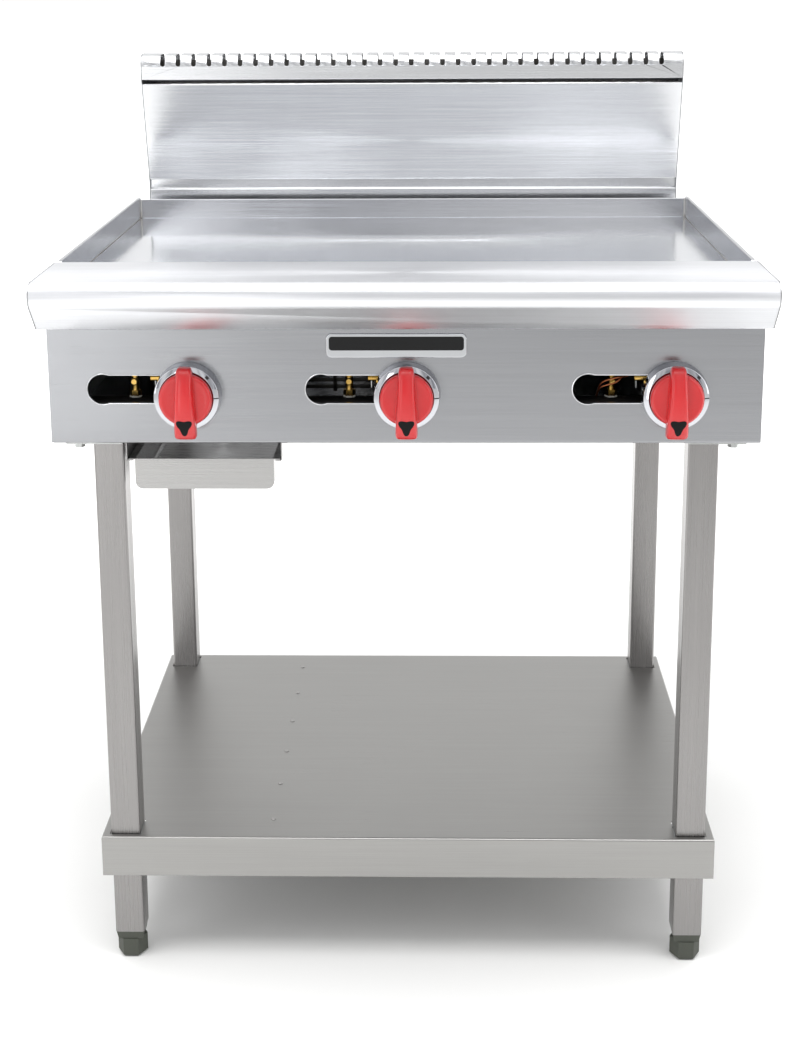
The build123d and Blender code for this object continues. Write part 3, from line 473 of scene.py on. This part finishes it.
def bar(low, high, edge, corner=3):
    """Box with rounded edges: rounded rectangles stacked along Z, drawn in at both ends."""
    low, high = np.asarray(low, float), np.asarray(high, float)
    middle, half = (low + high) / 2, (high - low) / 2
    edge = min(edge, half.min() * 0.98)
    turn = np.linspace(0, pi / 2, corner + 1)
    quarter = [np.stack([np.cos(turn + k * pi / 2), np.sin(turn + k * pi / 2)], -1)
               for k in range(4)]
    signs = [(1, 1), (-1, 1), (-1, -1), (1, -1)]
    rows = []
    drop = np.concatenate([edge * (1 - np.sin(turn)), edge * (1 - np.sin(turn[::-1]))])
    lift = np.concatenate([-half[2] + edge * (1 - np.cos(turn)),
                           half[2] - edge * (1 - np.cos(turn[::-1]))])
    for inward, height in zip(drop, lift):
        outline = [np.array(sign) * (half[:2] - edge) + arc * (edge - inward)
                   for sign, arc in zip(signs, quarter)]
        ring = np.concatenate(outline)
        rows.append(np.column_stack([ring, np.full(len(ring), height)]))
    rows = [np.broadcast_to([0, 0, -half[2]], rows[0].shape), *rows,
            np.broadcast_to([0, 0, half[2]], rows[0].shape)]
    return patch(np.array(rows) + middle, close_cols=True)


def hexagonal(centre, direction, across, height, chamfer=0.12):
    """Hexagonal head: six-sided lathe with its top corners drawn in."""
    radius = across / 2 / cos(pi / 6)
    profile = [(0, 0), (radius, 0), (radius, height * (1 - chamfer)),
               (radius * 0.92, height), (0, height)]
    return lathe(profile, centre, direction, turns=6)


# ------------------------------------------------------------------ settings
class FinishSettings(bpy.types.PropertyGroup):
    """Sizes of the softened edges."""

    edge: FloatProperty(name="Sheet edge", description="Rounding of cut sheet edges",
                        default=0.0005, unit="LENGTH")
    thick_edge: FloatProperty(name="Plate edge", description="Rounding of thick plate edges",
                              default=0.0012, unit="LENGTH")


class KnobSettings(bpy.types.PropertyGroup):
    """Shape of the knobs and bezels."""

    disc_radius: FloatProperty(name="Disc radius", description="Red disc behind the grip",
                               default=0.034, unit="LENGTH")
    grip_top_half: FloatProperty(name="Grip half width, top", description="Narrow end",
                                 default=0.0102, unit="LENGTH")
    grip_low_half: FloatProperty(name="Grip half width, bottom", description="Wide end",
                                 default=0.0152, unit="LENGTH")
    bezel_radius: FloatProperty(name="Bezel radius", description="Chrome ring at the panel",
                                default=0.0434, unit="LENGTH")
    mark: FloatProperty(name="Mark size", description="Radius of the printed mark",
                        default=0.0078, unit="LENGTH")


class StageSettings(bpy.types.PropertyGroup):
    """Camera, light and floor."""

    eye: FloatVectorProperty(name="Eye", description="Camera position", size=3,
                             default=(0.043, -2.508, 1.359), subtype="XYZ", unit="LENGTH")
    pitch: FloatProperty(name="Pitch", description="Camera below the horizon",
                         default=radians(12.78), subtype="ANGLE")
    yaw: FloatProperty(name="Yaw", description="Camera towards the left",
                       default=radians(1.29), subtype="ANGLE")
    roll: FloatProperty(name="Roll", description="Camera turned on its axis",
                        default=radians(0.33), subtype="ANGLE")
    lens: FloatProperty(name="Lens", description="Focal length for a 36 mm long side",
                        default=59.98)
    shift: FloatProperty(name="Shift", description="Vertical shift of the lens", default=-0.16)
    key: FloatProperty(name="Key light", description="Power of the overhead panel",
                       default=95.0, unit="POWER")
    fill: FloatProperty(name="Side light", description="Power of each side panel",
                        default=14.0, unit="POWER")
    strip: FloatProperty(name="Strip light", description="Power of the strip at front left",
                         default=5.0, unit="POWER")
    floor_colour: FloatVectorProperty(name="Floor", description="Pale floor", size=3,
                                      subtype="COLOR", default=linear("#F0F0EF")[:3])


# ------------------------------------------------------------------ operators: finishes
class GRIDDLE_OT_finishes(bpy.types.Operator):
    """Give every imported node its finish"""

    bl_idname = "griddle.finishes"
    bl_label = "Finishes"

    def execute(self, context):
        FINISHES.update(make_finishes())
        missing = set(NODES) - set(NODE_FINISH)
        if missing:
            raise RuntimeError(f"nodes without a finish: {sorted(missing)}")
        for name, node in NODES.items():
            made = FINISHES[NODE_FINISH[name]]
            for index in range(max(1, len(node.material_slots))):
                if index < len(node.material_slots):
                    node.material_slots[index].material = made
                else:
                    node.data.materials.append(made)
        return {"FINISHED"}


SHEET_NODES = ("front_panel", "front_ledge", "ledge_ends", "side_panel_left",
               "side_panel_right", "rear_panel", "splash_sides", "splash_rear", "shelf",
               "flue_front", "flue_back", "flue_cap", "flue_sides", "grease_pan", "pan_rails",
               "badge_frame", "grease_trough", "leg_plates", "foot_front_left",
               "foot_front_right", "foot_rear_left", "foot_rear_right", "foot_sockets",
               "leg_bolts", "pilot_valves")


class GRIDDLE_OT_edges(bpy.types.Operator):
    """Round the cut edges of sheets and plates so that they catch the light"""

    bl_idname = "griddle.edges"
    bl_label = "Soft edges"

    def execute(self, context):
        settings = context.scene.griddle_finish
        for name in (*SHEET_NODES, "griddle_plate"):
            node = NODES[name]
            width = settings.thick_edge if name == "griddle_plate" else settings.edge
            weld = node.modifiers.new("join corners", "WELD")
            weld.merge_threshold = 0.00002
            bevel = node.modifiers.new("soft edge", "BEVEL")
            bevel.width = width
            bevel.segments = 2
            bevel.limit_method = "ANGLE"
            bevel.angle_limit = radians(40)
            bevel.harden_normals = True
        return {"FINISHED"}


# ------------------------------------------------------------------ operators: knobs
def joint_centre(place):
    """Knob axis point on the control panel face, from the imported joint."""
    return np.array(JOINTS["knob_turn_" + place]["pos_m"], float)


GRIP_BACK = 24 * MM         # back of the grip's overhanging ends, in front of the panel
GRIP_LOW = -50.5 * MM       # its two ends, from the knob's axis
GRIP_TOP = 42.5 * MM
GRIP_RISE = 25 * MM         # its thickness at the middle
GRIP_FALL = 10 * MM         # and how much thinner its ends are
GRIP_DRAFT = 0.07           # share by which its front is narrower than its back
POINTER_DROP = 31 * MM      # the pointer's centre below the knob's axis
POINTER_LIFT = 0.12 * MM    # the print above the grip
BAND_LIFT = 0.1 * MM        # and above the bezel's band
VALVE_REACH = 8.08 * MM     # from a pilot valve's axis to its outermost side
FLOOR_GAP = 0.2 * MM        # paper below the feet


def grip_frame(u, settings):
    """Half width, thickness and end rounding of the grip at u from -1 (low) to 1 (top).

    The ends close as (1 - |u|^14)^(1/3); the width runs from the low to the top half width;
    the thickness falls from the middle to both ends alike, as |u|^2.4.
    """
    ends = (1 - np.abs(u) ** 14) ** (1 / 3)
    half = settings.grip_low_half + (settings.grip_top_half - settings.grip_low_half) * (
        u + 1) / 2
    rise = GRIP_RISE - GRIP_FALL * np.abs(u) ** 2.4
    return half * (0.55 + 0.45 * ends) * (ends > 0), rise * (0.5 + 0.5 * ends), ends


def make_grip(centre, settings):
    """Grip: superellipse sections |x/w|^4 + |y/h|^4 = 1 strung from the low to the top end."""
    u = np.sin(np.linspace(-pi / 2, pi / 2, 61))
    t = np.linspace(0, 2 * pi, 56, endpoint=False)
    half, rise, ends = grip_frame(u, settings)
    power = 0.5              # 2 over the sections' exponent of 4
    across = np.sign(np.cos(t)) * np.abs(np.cos(t)) ** power
    out = np.sign(np.sin(t)) * np.abs(np.sin(t)) ** power
    draft = 1 - GRIP_DRAFT * (out[None, :] + 1) / 2
    x = half[:, None] * across[None, :] * draft
    y = -GRIP_BACK - rise[:, None] * (out[None, :] + 1) / 2
    z = np.broadcast_to((GRIP_LOW + (GRIP_TOP - GRIP_LOW) * (u + 1) / 2)[:, None], x.shape)
    points = np.stack([x, y, z], -1)
    low = np.broadcast_to(points[:1].mean(axis=1, keepdims=True), points[:1].shape)
    top = np.broadcast_to(points[-1:].mean(axis=1, keepdims=True), points[-1:].shape)
    return patch(np.concatenate([low, points, top]) + centre, close_cols=True)


def grip_face(x, z, settings):
    """Distance of the grip's front face in front of the panel at x, z: the same sections."""
    u = (z - GRIP_LOW) / (GRIP_TOP - GRIP_LOW) * 2 - 1
    half, rise, _ = grip_frame(u, settings)
    across = np.clip(np.abs(x / (half * (1 - GRIP_DRAFT))), 0, 0.99)
    out = (1 - across ** 4) ** 0.25
    return GRIP_BACK + rise * (out + 1) / 2


class GRIDDLE_OT_knobs(bpy.types.Operator):
    """Red knobs with an arched grip, and the printed mark on each"""

    bl_idname = "griddle.knobs"
    bl_label = "Knobs"

    def execute(self, context):
        settings = context.scene.griddle_knob
        radius = settings.disc_radius
        for place in PLACES:
            centre = joint_centre(place)
            body = "knob_set_" + place
            disc = rounded([(0, 22.0 * MM), (radius - 2 * MM, 22.0 * MM), (radius, 23.5 * MM),
                            (radius, 30.0 * MM), (radius - 3.0 * MM, 33.4 * MM),
                            (radius - 9 * MM, 33.0 * MM), (0, 32.8 * MM)], 1.6 * MM)
            hub = [(0, 12 * MM), (10 * MM, 12 * MM), (10 * MM, 23 * MM), (0, 23 * MM)]
            parts = [lathe(disc, centre, (0, -1, 0), 112), lathe(hub, centre, (0, -1, 0), 32),
                     make_grip(centre, settings)]
            knob = build("knob_red_" + place, parts, "red", body, sharp=50)
            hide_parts("knob_" + place)

            # mark: a plain pointer, a soft triangle whose outline at angle a is
            # 1.25 m / (1.18 - 0.32 cos 3(a + 90 degrees)), stretched by 1.15 in height
            angle = np.linspace(0, 2 * pi, 72, endpoint=False)[None, :]
            reach = np.linspace(0, 1, 9)[:, None] * settings.mark
            reach = reach * 1.25 / (1.18 - 0.32 * np.cos(3 * (angle + pi / 2)))
            x = reach * np.cos(angle)
            z = -POINTER_DROP + reach * np.sin(angle) * 1.15
            y = -grip_face(x, z, settings) - POINTER_LIFT
            mark = build("knob_mark_" + place, [patch(np.stack([x, y, z], -1) + centre,
                                                      close_cols=True)], "black_mark", body,
                         closed=False)
            turn_to(mark, (0, -1, 0))
        return {"FINISHED"}


def turn_to(piece, direction):
    """Turn an open patch whose mean normal points away from a direction."""
    mesh = piece.data
    normals = np.empty(len(mesh.polygons) * 3)
    mesh.polygons.foreach_get("normal", normals)
    if normals.reshape(-1, 3).mean(axis=0).dot(direction) < 0:
        mesh.flip_normals()


BAND_IN, BAND_TOP = 35.2 * MM, 22.0 * MM      # bezel's sloping front band, inner edge
BAND_OUT, BAND_LOW = 41.6 * MM, 19.4 * MM     # and outer edge


def band_patch(centre, start, stop, near, far):
    """Thin print on the bezel's band: a straight line in radius and height, turned by degrees."""
    angle = np.radians(np.linspace(start, stop, 12))[:, None]
    share = np.linspace(near, far, 5)[None, :]
    radius = BAND_IN + share * (BAND_OUT - BAND_IN)
    height = BAND_TOP + share * (BAND_LOW - BAND_TOP) + BAND_LIFT
    x, z = radius * np.sin(angle), radius * np.cos(angle)
    return patch(np.stack([x, np.broadcast_to(-height, x.shape), z], -1) + centre)


class GRIDDLE_OT_bezels(bpy.types.Operator):
    """Chrome bezels with their rolled rim and the printed setting marks"""

    bl_idname = "griddle.bezels"
    bl_label = "Bezels"

    def execute(self, context):
        settings = context.scene.griddle_knob
        r = settings.bezel_radius
        for place in PLACES:
            centre = joint_centre(place)
            body = "knob_set_" + place
            profile = rounded([(34.6 * MM, 1.2 * MM), (r - 0.6 * MM, 1.2 * MM),
                               (r, 2.2 * MM), (r - 0.2 * MM, 5.0 * MM),
                               (r - 1.2 * MM, 13.5 * MM), (BAND_OUT, BAND_LOW),
                               (BAND_IN, BAND_TOP), (BAND_IN - 1.0 * MM, 21.0 * MM),
                               (11.5 * MM, 20.6 * MM), (11.5 * MM, 19.0 * MM),
                               (34.0 * MM, 18.5 * MM), (34.6 * MM, 1.2 * MM)], 0.8 * MM)
            ring = build("bezel_ring_" + place, [lathe(profile, centre, (0, -1, 0), 144)],
                         "chrome", body, sharp=60)
            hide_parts("bezel_" + place)

            # printed on the band: a small open square for off, a short block and a thin line;
            # each is its first and last angle in degrees and its inner and outer share
            marks = [band_patch(centre, *span) for span in (
                (-3.0, 3.0, 0.30, 0.42), (-3.0, 3.0, 0.72, 0.84), (-4.2, -3.0, 0.30, 0.84),
                (3.0, 4.2, 0.30, 0.84), (42.0, 49.0, 0.25, 0.80), (88.9, 91.1, 0.02, 0.98))]
            printed = build("bezel_marks_" + place, marks, "grey_mark", body, closed=False)
            turn_to(printed, (0, -1, 0))
        return {"FINISHED"}


# ------------------------------------------------------------------ operators: small pieces
def beside(centre, x, y, z):
    """Point that lies x, y and z millimetres from a knob's axis point."""
    return centre + np.array([x, y, z]) * MM


class GRIDDLE_OT_port_pieces(bpy.types.Operator):
    """Brass arms, brackets and sealant at every port, copper leads and one slotted baffle"""

    bl_idname = "griddle.port_pieces"
    bl_label = "Pieces behind the ports"

    def execute(self, context):
        low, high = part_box("manifold")
        pipe_y = (low[1] + high[1]) / 2
        pipe_z = (low[2] + high[2]) / 2
        for place in PLACES:
            centre = joint_centre(place)
            sleeve = rounded([(0, 0), (4.4 * MM, 0), (4.4 * MM, 15 * MM), (5.6 * MM, 15 * MM),
                              (5.6 * MM, 21 * MM), (0, 21 * MM)], 0.6 * MM)
            arm = [lathe(sleeve, beside(centre, -50, 15, 19), (1, 0, 0), 24),
                   hexagonal(beside(centre, -29, 15, 19), (1, 0, 0), 12 * MM, 8 * MM)]
            piece = build("pilot_arm_" + place, arm, "brass", "body", sharp=30)

            bracket = [bar(beside(centre, -47, 26, 2), beside(centre, -45, 34, 27), 0.5 * MM),
                       bar(beside(centre, -47, 26, 25), beside(centre, -20, 34, 27), 0.5 * MM)]
            strip = build("pilot_bracket_" + place, bracket, "zinc", "body")

        # white sealant where each pilot valve screws into the pipe: a ring of round section
        # whose thickness is varied by two sines
        around, thick, lift = 7.2 * MM, 1.3 * MM, 13.6 * MM
        a = np.linspace(0, 2 * pi, 36, endpoint=False)
        t = np.linspace(0, 2 * pi, 12, endpoint=False)
        out = np.stack([np.cos(a), np.sin(a), np.zeros(len(a))], -1)
        section = (np.cos(t)[None, :, None] * out[:, None]
                   + np.sin(t)[None, :, None] * np.array([0, 0, 1.0]))
        seal = []
        for place in PLACES:
            middle = np.array([valve_x(place), pipe_y, pipe_z + lift])
            wobble = 1 + 0.12 * np.sin(5 * a + middle[0] * 40) + 0.08 * np.sin(9 * a)
            ring = middle + around * out
            seal.append(patch(ring[:, None] + section * (thick * wobble)[:, None, None],
                              close_rows=True, close_cols=True))
        build("pipe_sealant", seal, "sealant", "body")

        # two thin copper leads at the right-hand pilot, each a loose double bend
        centre = joint_centre("right")
        leads = []
        for shift in (0.0, 7.0):
            route = smooth_path([
                beside(centre, -96, 40, -12), beside(centre, -92, 32, 2 + shift),
                beside(centre, -70, 28, 9 + shift), beside(centre, -58, 34, 22 - shift),
                beside(centre, -40, 46, 24)], 12 * MM)
            leads.append(tube(route, 1.2 * MM, 10))
        build("pilot_leads_right", leads, "copper", "body")

        # slotted baffle behind the centre port
        centre = joint_centre("centre")
        slats = [bar(beside(centre, -150, 66, -8 + 9 * k), beside(centre, -40, 68, -3 + 9 * k),
                     0.5 * MM) for k in range(5)]
        slats += [bar(beside(centre, x, 66, -12), beside(centre, x + 5, 69, 38), 0.5 * MM)
                  for x in (-152, -98, -44)]
        build("baffle_centre", slats, "dark_steel", "body")
        return {"FINISHED"}


def valve_x(place):
    """X of a pilot valve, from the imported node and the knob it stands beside."""
    low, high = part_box("pilot_valves")
    offset = joint_centre("left")[0] - (low[0] + VALVE_REACH)
    return joint_centre(place)[0] - offset


class GRIDDLE_OT_port_rims(bpy.types.Operator):
    """Turned-in edges around the lighting ports, in a stainless much lighter than the panel they
    belong to: real edges with a painted highlight
    """

    bl_idname = "griddle.port_rims"
    bl_label = "Port rims"

    def execute(self, context):
        for place in PLACES:
            centre = joint_centre(place)
            rise, offset = 7 * MM, 110 * MM       # the port's middle, up and left of the axis
            radius, half = 20.3 * MM, 18.8 * MM   # its round end and half its slot's height
            land = 25 * MM                        # where the slot ends beside the knob
            first = np.arcsin(half / radius)
            angle = np.linspace(first, 2 * pi - first, 60)
            x = np.concatenate([[-land], -offset + radius * np.cos(angle), [-land]])
            z = np.concatenate([[half], radius * np.sin(angle), [-half]])
            path = np.stack([centre[0] + x, np.full(len(x), centre[1] + 0.2 * MM),
                             centre[2] + rise + z], -1)
            # the rim tube's light colour is a painted highlight along the port's edge
            rim = build("port_rim_" + place, [tube(path, 0.85 * MM, 10)], "rim", "body")
        return {"FINISHED"}


class GRIDDLE_OT_screws(bpy.types.Operator):
    """Pan-head screws that hold the rear, flue and side sheets"""

    bl_idname = "griddle.screws"
    bl_label = "Sheet screws"

    def execute(self, context):
        heads = []
        dome = rounded([(0, 0), (4.2 * MM, 0), (4.2 * MM, 0.9 * MM), (3.2 * MM, 2.2 * MM),
                        (1.4 * MM, 2.5 * MM), (1.1 * MM, 1.3 * MM), (0, 1.3 * MM)], 0.5 * MM, 4)
        low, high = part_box("rear_panel")
        back = high[1]
        for x in np.linspace(low[0] + 20 * MM, high[0] - 20 * MM, 7):
            for z in (low[2] + 9 * MM, high[2] - 10 * MM):
                heads.append(lathe(dome, (x, back, z), (0, 1, 0), 20))
        low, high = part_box("flue_back")
        for x in np.linspace(low[0] + 15 * MM, high[0] - 15 * MM, 6):
            heads.append(lathe(dome, (x, high[1], low[2] + 18 * MM), (0, 1, 0), 20))
        for side, name in ((-1, "side_panel_left"), (1, "side_panel_right")):
            low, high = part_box(name)
            x = low[0] if side < 0 else high[0]
            for y in (low[1] + 14 * MM, low[1] + 260 * MM, high[1] - 260 * MM,
                      high[1] - 14 * MM):
                heads.append(lathe(dome, (x, y, low[2] + 12 * MM), (side, 0, 0), 20))
        screws = build("sheet_screws", heads, "zinc", "body", sharp=50)
        return {"FINISHED"}


class GRIDDLE_OT_welds(bpy.types.Operator):
    """Weld beads at the rear corners of the splash guards and along their foot"""

    bl_idname = "griddle.welds"
    bl_label = "Weld beads"

    def execute(self, context):
        low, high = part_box("splash_rear")
        beads = []
        for side, x in ((1, low[0]), (-1, high[0])):
            z = np.linspace(low[2] + 1 * MM, high[2] - 0.5 * MM, 40)
            ripple = 1 + 0.22 * np.abs(np.sin(np.linspace(0, 13 * pi, 40)))
            path = np.stack([np.full(40, x + side * 0.6 * MM),
                             np.full(40, low[1] - 0.4 * MM), z], -1)
            beads.append(tube(path, 1.7 * MM * ripple, 12))
            y = np.linspace(low[1] - 40 * MM, low[1], 40)
            path = np.stack([np.full(40, x + side * 0.3 * MM), y, np.full(40, low[2])], -1)
            taper = np.sqrt(np.linspace(0.02, 1, 40))
            beads.append(tube(path, 1.5 * MM * ripple * taper, 10))
        build("corner_welds", beads, "weld", "body")

        low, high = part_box("splash_sides")
        plate_low, plate_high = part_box("griddle_plate")
        y = np.linspace(plate_low[1] + 1 * MM, plate_high[1] - 6 * MM, 260)
        ripple = 1 + 0.10 * np.sin(np.linspace(0, 170 * pi, len(y)))
        seam = []
        for x in (low[0] + 5 * MM, high[0] - 5 * MM):
            path = np.stack([np.full(len(y), x), y, np.full(len(y), plate_high[2])], -1)
            seam.append(tube(path, 1.1 * MM * ripple, 8))
        build("guard_seams", seam, "weld", "body")
        return {"FINISHED"}


class GRIDDLE_OT_flue_liner(bpy.types.Operator):
    """Dark sheet behind the slots of the flue cap. It stands in for the cap's back wall; its dark
    colour is painted shade in the hollow under the cap.
    """

    bl_idname = "griddle.flue_liner"
    bl_label = "Flue liner"

    def execute(self, context):
        low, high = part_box("flue_cap")
        inside = 9 * MM
        # a dark sheet just inside the cap's back: painted shade seen through the slots
        liner = [bar((low[0] + inside, high[1] - 6 * MM, low[2] + 4 * MM),
                     (high[0] - inside, high[1] - 5 * MM, high[2] - 12 * MM), 0.4 * MM)]
        build("flue_liner", liner, "liner", "body")
        return {"FINISHED"}


class GRIDDLE_OT_inlet_thread(bpy.types.Operator):
    """Pipe thread on the gas connection"""

    bl_idname = "griddle.inlet_thread"
    bl_label = "Inlet thread"

    def execute(self, context):
        low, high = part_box("gas_inlet_pipe")
        centre = ((low[0] + high[0]) / 2, high[1] - 24 * MM, (low[2] + high[2]) / 2)
        turns, around = 13, 40
        t = np.linspace(0, turns * 2 * pi, turns * around)
        pitch = 1.81 * MM
        ends = np.clip(np.minimum(t, t[-1] - t) / (2 * pi), 0.02, 1)
        radius = 13.35 * MM
        path = np.stack([centre[0] + radius * np.cos(t), centre[1] + pitch * t / (2 * pi),
                         centre[2] + radius * np.sin(t)], -1)
        thread = build("inlet_thread", [tube(path, 0.55 * MM * ends, 6)], "black_pipe", "body")
        return {"FINISHED"}


# ------------------------------------------------------------------ operator: stage
class GRIDDLE_OT_stage(bpy.types.Operator):
    """Pale floor, soft studio light and the camera"""

    bl_idname = "griddle.stage"
    bl_label = "Studio"

    def execute(self, context):
        settings = context.scene.griddle_stage
        scene = context.scene
        finish, tree, shader = material("studio_floor_paper")
        shader.inputs["Base Color"].default_value = (*settings.floor_colour, 1.0)
        shader.inputs["Roughness"].default_value = 0.9
        place = add(tree, "ShaderNodeTexCoord").outputs["Object"]
        reach = add(tree, "ShaderNodeVectorMath", {0: place}, operation="LENGTH")
        far = ramp(tree, reach.outputs["Value"], 0.9, 2.6, 0.0, 1.0)
        depth = add(tree, "ShaderNodeSeparateXYZ", {0: place}).outputs["Y"]
        glow = add(tree, "ShaderNodeMath", {0: far, 1: ramp(tree, depth, -1.2, 0.4, 0.0, 1.0)},
                   operation="MULTIPLY")
        shader.inputs["Emission Color"].default_value = (1.0, 1.0, 1.0, 1.0)
        tree.links.new(glow.outputs[0], shader.inputs["Emission Strength"])
        # the paper is seen from above only, so that the underside can be looked at
        side = add(tree, "ShaderNodeNewGeometry").outputs["Backfacing"]
        clear = add(tree, "ShaderNodeBsdfTransparent").outputs[0]
        either = add(tree, "ShaderNodeMixShader", {0: side, 1: shader.outputs[0], 2: clear})
        tree.links.new(either.outputs[0], tree.nodes["Material Output"].inputs["Surface"])
        size = 60.0
        mesh = bpy.data.meshes.new("floor")
        mesh.from_pydata([(-size, -size, 0), (size, -size, 0), (size, size, 0),
                          (-size, size, 0)], [], [(0, 1, 2, 3)])
        mesh.materials.append(finish)
        floor = bpy.data.objects.new("floor", mesh)
        floor.location.z = CAD_LOW[2] - FLOOR_GAP
        scene.collection.objects.link(floor)

        for name, place, aim, wide, high, power in (
                ("overhead", (0.0, -0.5, 3.2), (0, 0, 0.9), 3.2, 2.6, settings.key),
                ("left_panel", (-2.6, -1.2, 1.6), (0, 0, 0.8), 1.4, 2.4, settings.fill),
                ("right_panel", (2.6, -1.2, 1.6), (0, 0, 0.8), 1.4, 2.4, settings.fill),
                ("front_strip", (-1.05, -2.6, 1.0), (-0.2, 0, 0.85), 0.45, 1.8, settings.strip)):
            light = bpy.data.lights.new(name, "AREA")
            light.shape = "RECTANGLE"
            light.size, light.size_y = wide, high
            light.energy = power
            lamp = bpy.data.objects.new(name, light)
            lamp.location = place
            lamp.visible_camera = False
            way = Vector(aim) - Vector(place)
            lamp.rotation_euler = way.to_track_quat("-Z", "Y").to_euler()
            scene.collection.objects.link(lamp)

        world = bpy.data.worlds.new("studio")
        world.use_nodes = True
        tree = world.node_tree
        place = add(tree, "ShaderNodeTexCoord").outputs["Generated"]
        parts = add(tree, "ShaderNodeSeparateXYZ", {0: place})
        behind = ramp(tree, parts.outputs["Y"], -0.55, 0.1, 0.0, 1.0)
        above = ramp(tree, parts.outputs["Z"], 0.45, 0.8, 0.0, 1.0)
        open_sky = add(tree, "ShaderNodeMath", {0: behind, 1: above}, operation="MAXIMUM")
        drapes = add(tree, "ShaderNodeTexNoise", {"W": parts.outputs["X"]},
                     noise_dimensions="1D", Scale=5.5, Detail=1.0)
        cloth = mix_colour(tree, ramp(tree, drapes.outputs["Fac"], 0.4, 0.6, 0.0, 1.0),
                           linear("#A2A3A7"), linear("#FFFFFF"))
        tone = add(tree, "ShaderNodeMix", {0: open_sky.outputs[0], 6: cloth}, data_type="RGBA")
        tone.inputs[7].default_value = (1.0, 1.0, 1.0, 1.0)
        tree.nodes["Background"].inputs["Strength"].default_value = 1.0
        tree.links.new(tone.outputs[2], tree.nodes["Background"].inputs["Color"])
        scene.world = world

        pitch, yaw, roll = settings.pitch, settings.yaw, settings.roll
        right = Vector((cos(yaw), sin(yaw), 0))
        level = Vector((-sin(yaw), cos(yaw), 0))
        ahead = cos(pitch) * level - sin(pitch) * Vector((0, 0, 1))
        above = sin(pitch) * level + cos(pitch) * Vector((0, 0, 1))
        right, above = cos(roll) * right - sin(roll) * above, sin(roll) * right + cos(roll) * above
        lens = bpy.data.cameras.new("camera")
        lens.lens = settings.lens
        lens.shift_y = settings.shift
        camera = bpy.data.objects.new("camera", lens)
        camera.matrix_world = Matrix((
            (right.x, above.x, -ahead.x, settings.eye[0]),
            (right.y, above.y, -ahead.y, settings.eye[1]),
            (right.z, above.z, -ahead.z, settings.eye[2]),
            (0, 0, 0, 1)))
        scene.collection.objects.link(camera)
        scene.camera = camera
        scene.view_settings.view_transform = "Standard"
        scene.view_settings.look = "None"
        return {"FINISHED"}


class GRIDDLE_PT_panel(bpy.types.Panel):
    """Lists the griddle's operators and settings"""

    bl_idname = "GRIDDLE_PT_panel"
    bl_label = "Griddle"
    bl_space_type = "VIEW_3D"
    bl_region_type = "UI"
    bl_category = "Griddle"

    def draw(self, context):
        for operator in OPERATORS:
            self.layout.operator(operator.bl_idname)
        for group in ("griddle_finish", "griddle_knob", "griddle_stage"):
            settings = getattr(context.scene, group)
            box = self.layout.box()
            for key in settings.__annotations__:
                box.prop(settings, key)


OPERATORS = (GRIDDLE_OT_finishes, GRIDDLE_OT_edges, GRIDDLE_OT_knobs, GRIDDLE_OT_bezels,
             GRIDDLE_OT_port_pieces, GRIDDLE_OT_port_rims, GRIDDLE_OT_screws, GRIDDLE_OT_welds,
             GRIDDLE_OT_flue_liner, GRIDDLE_OT_inlet_thread, GRIDDLE_OT_stage)
CLASSES = (FinishSettings, KnobSettings, StageSettings, *OPERATORS, GRIDDLE_PT_panel)


def register():
    """Register the classes and their settings."""
    for made in CLASSES:
        bpy.utils.register_class(made)
    bpy.types.Scene.griddle_finish = PointerProperty(type=FinishSettings)
    bpy.types.Scene.griddle_knob = PointerProperty(type=KnobSettings)
    bpy.types.Scene.griddle_stage = PointerProperty(type=StageSettings)


def unregister():
    """Remove the settings and the classes."""
    for group in ("griddle_finish", "griddle_knob", "griddle_stage"):
        delattr(bpy.types.Scene, group)
    for made in reversed(CLASSES):
        bpy.utils.unregister_class(made)


def main():
    register()
    for operator in OPERATORS:
        group, name = operator.bl_idname.split(".")
        getattr(getattr(bpy.ops, group), name)()


if __name__ == "__main__":
    main()
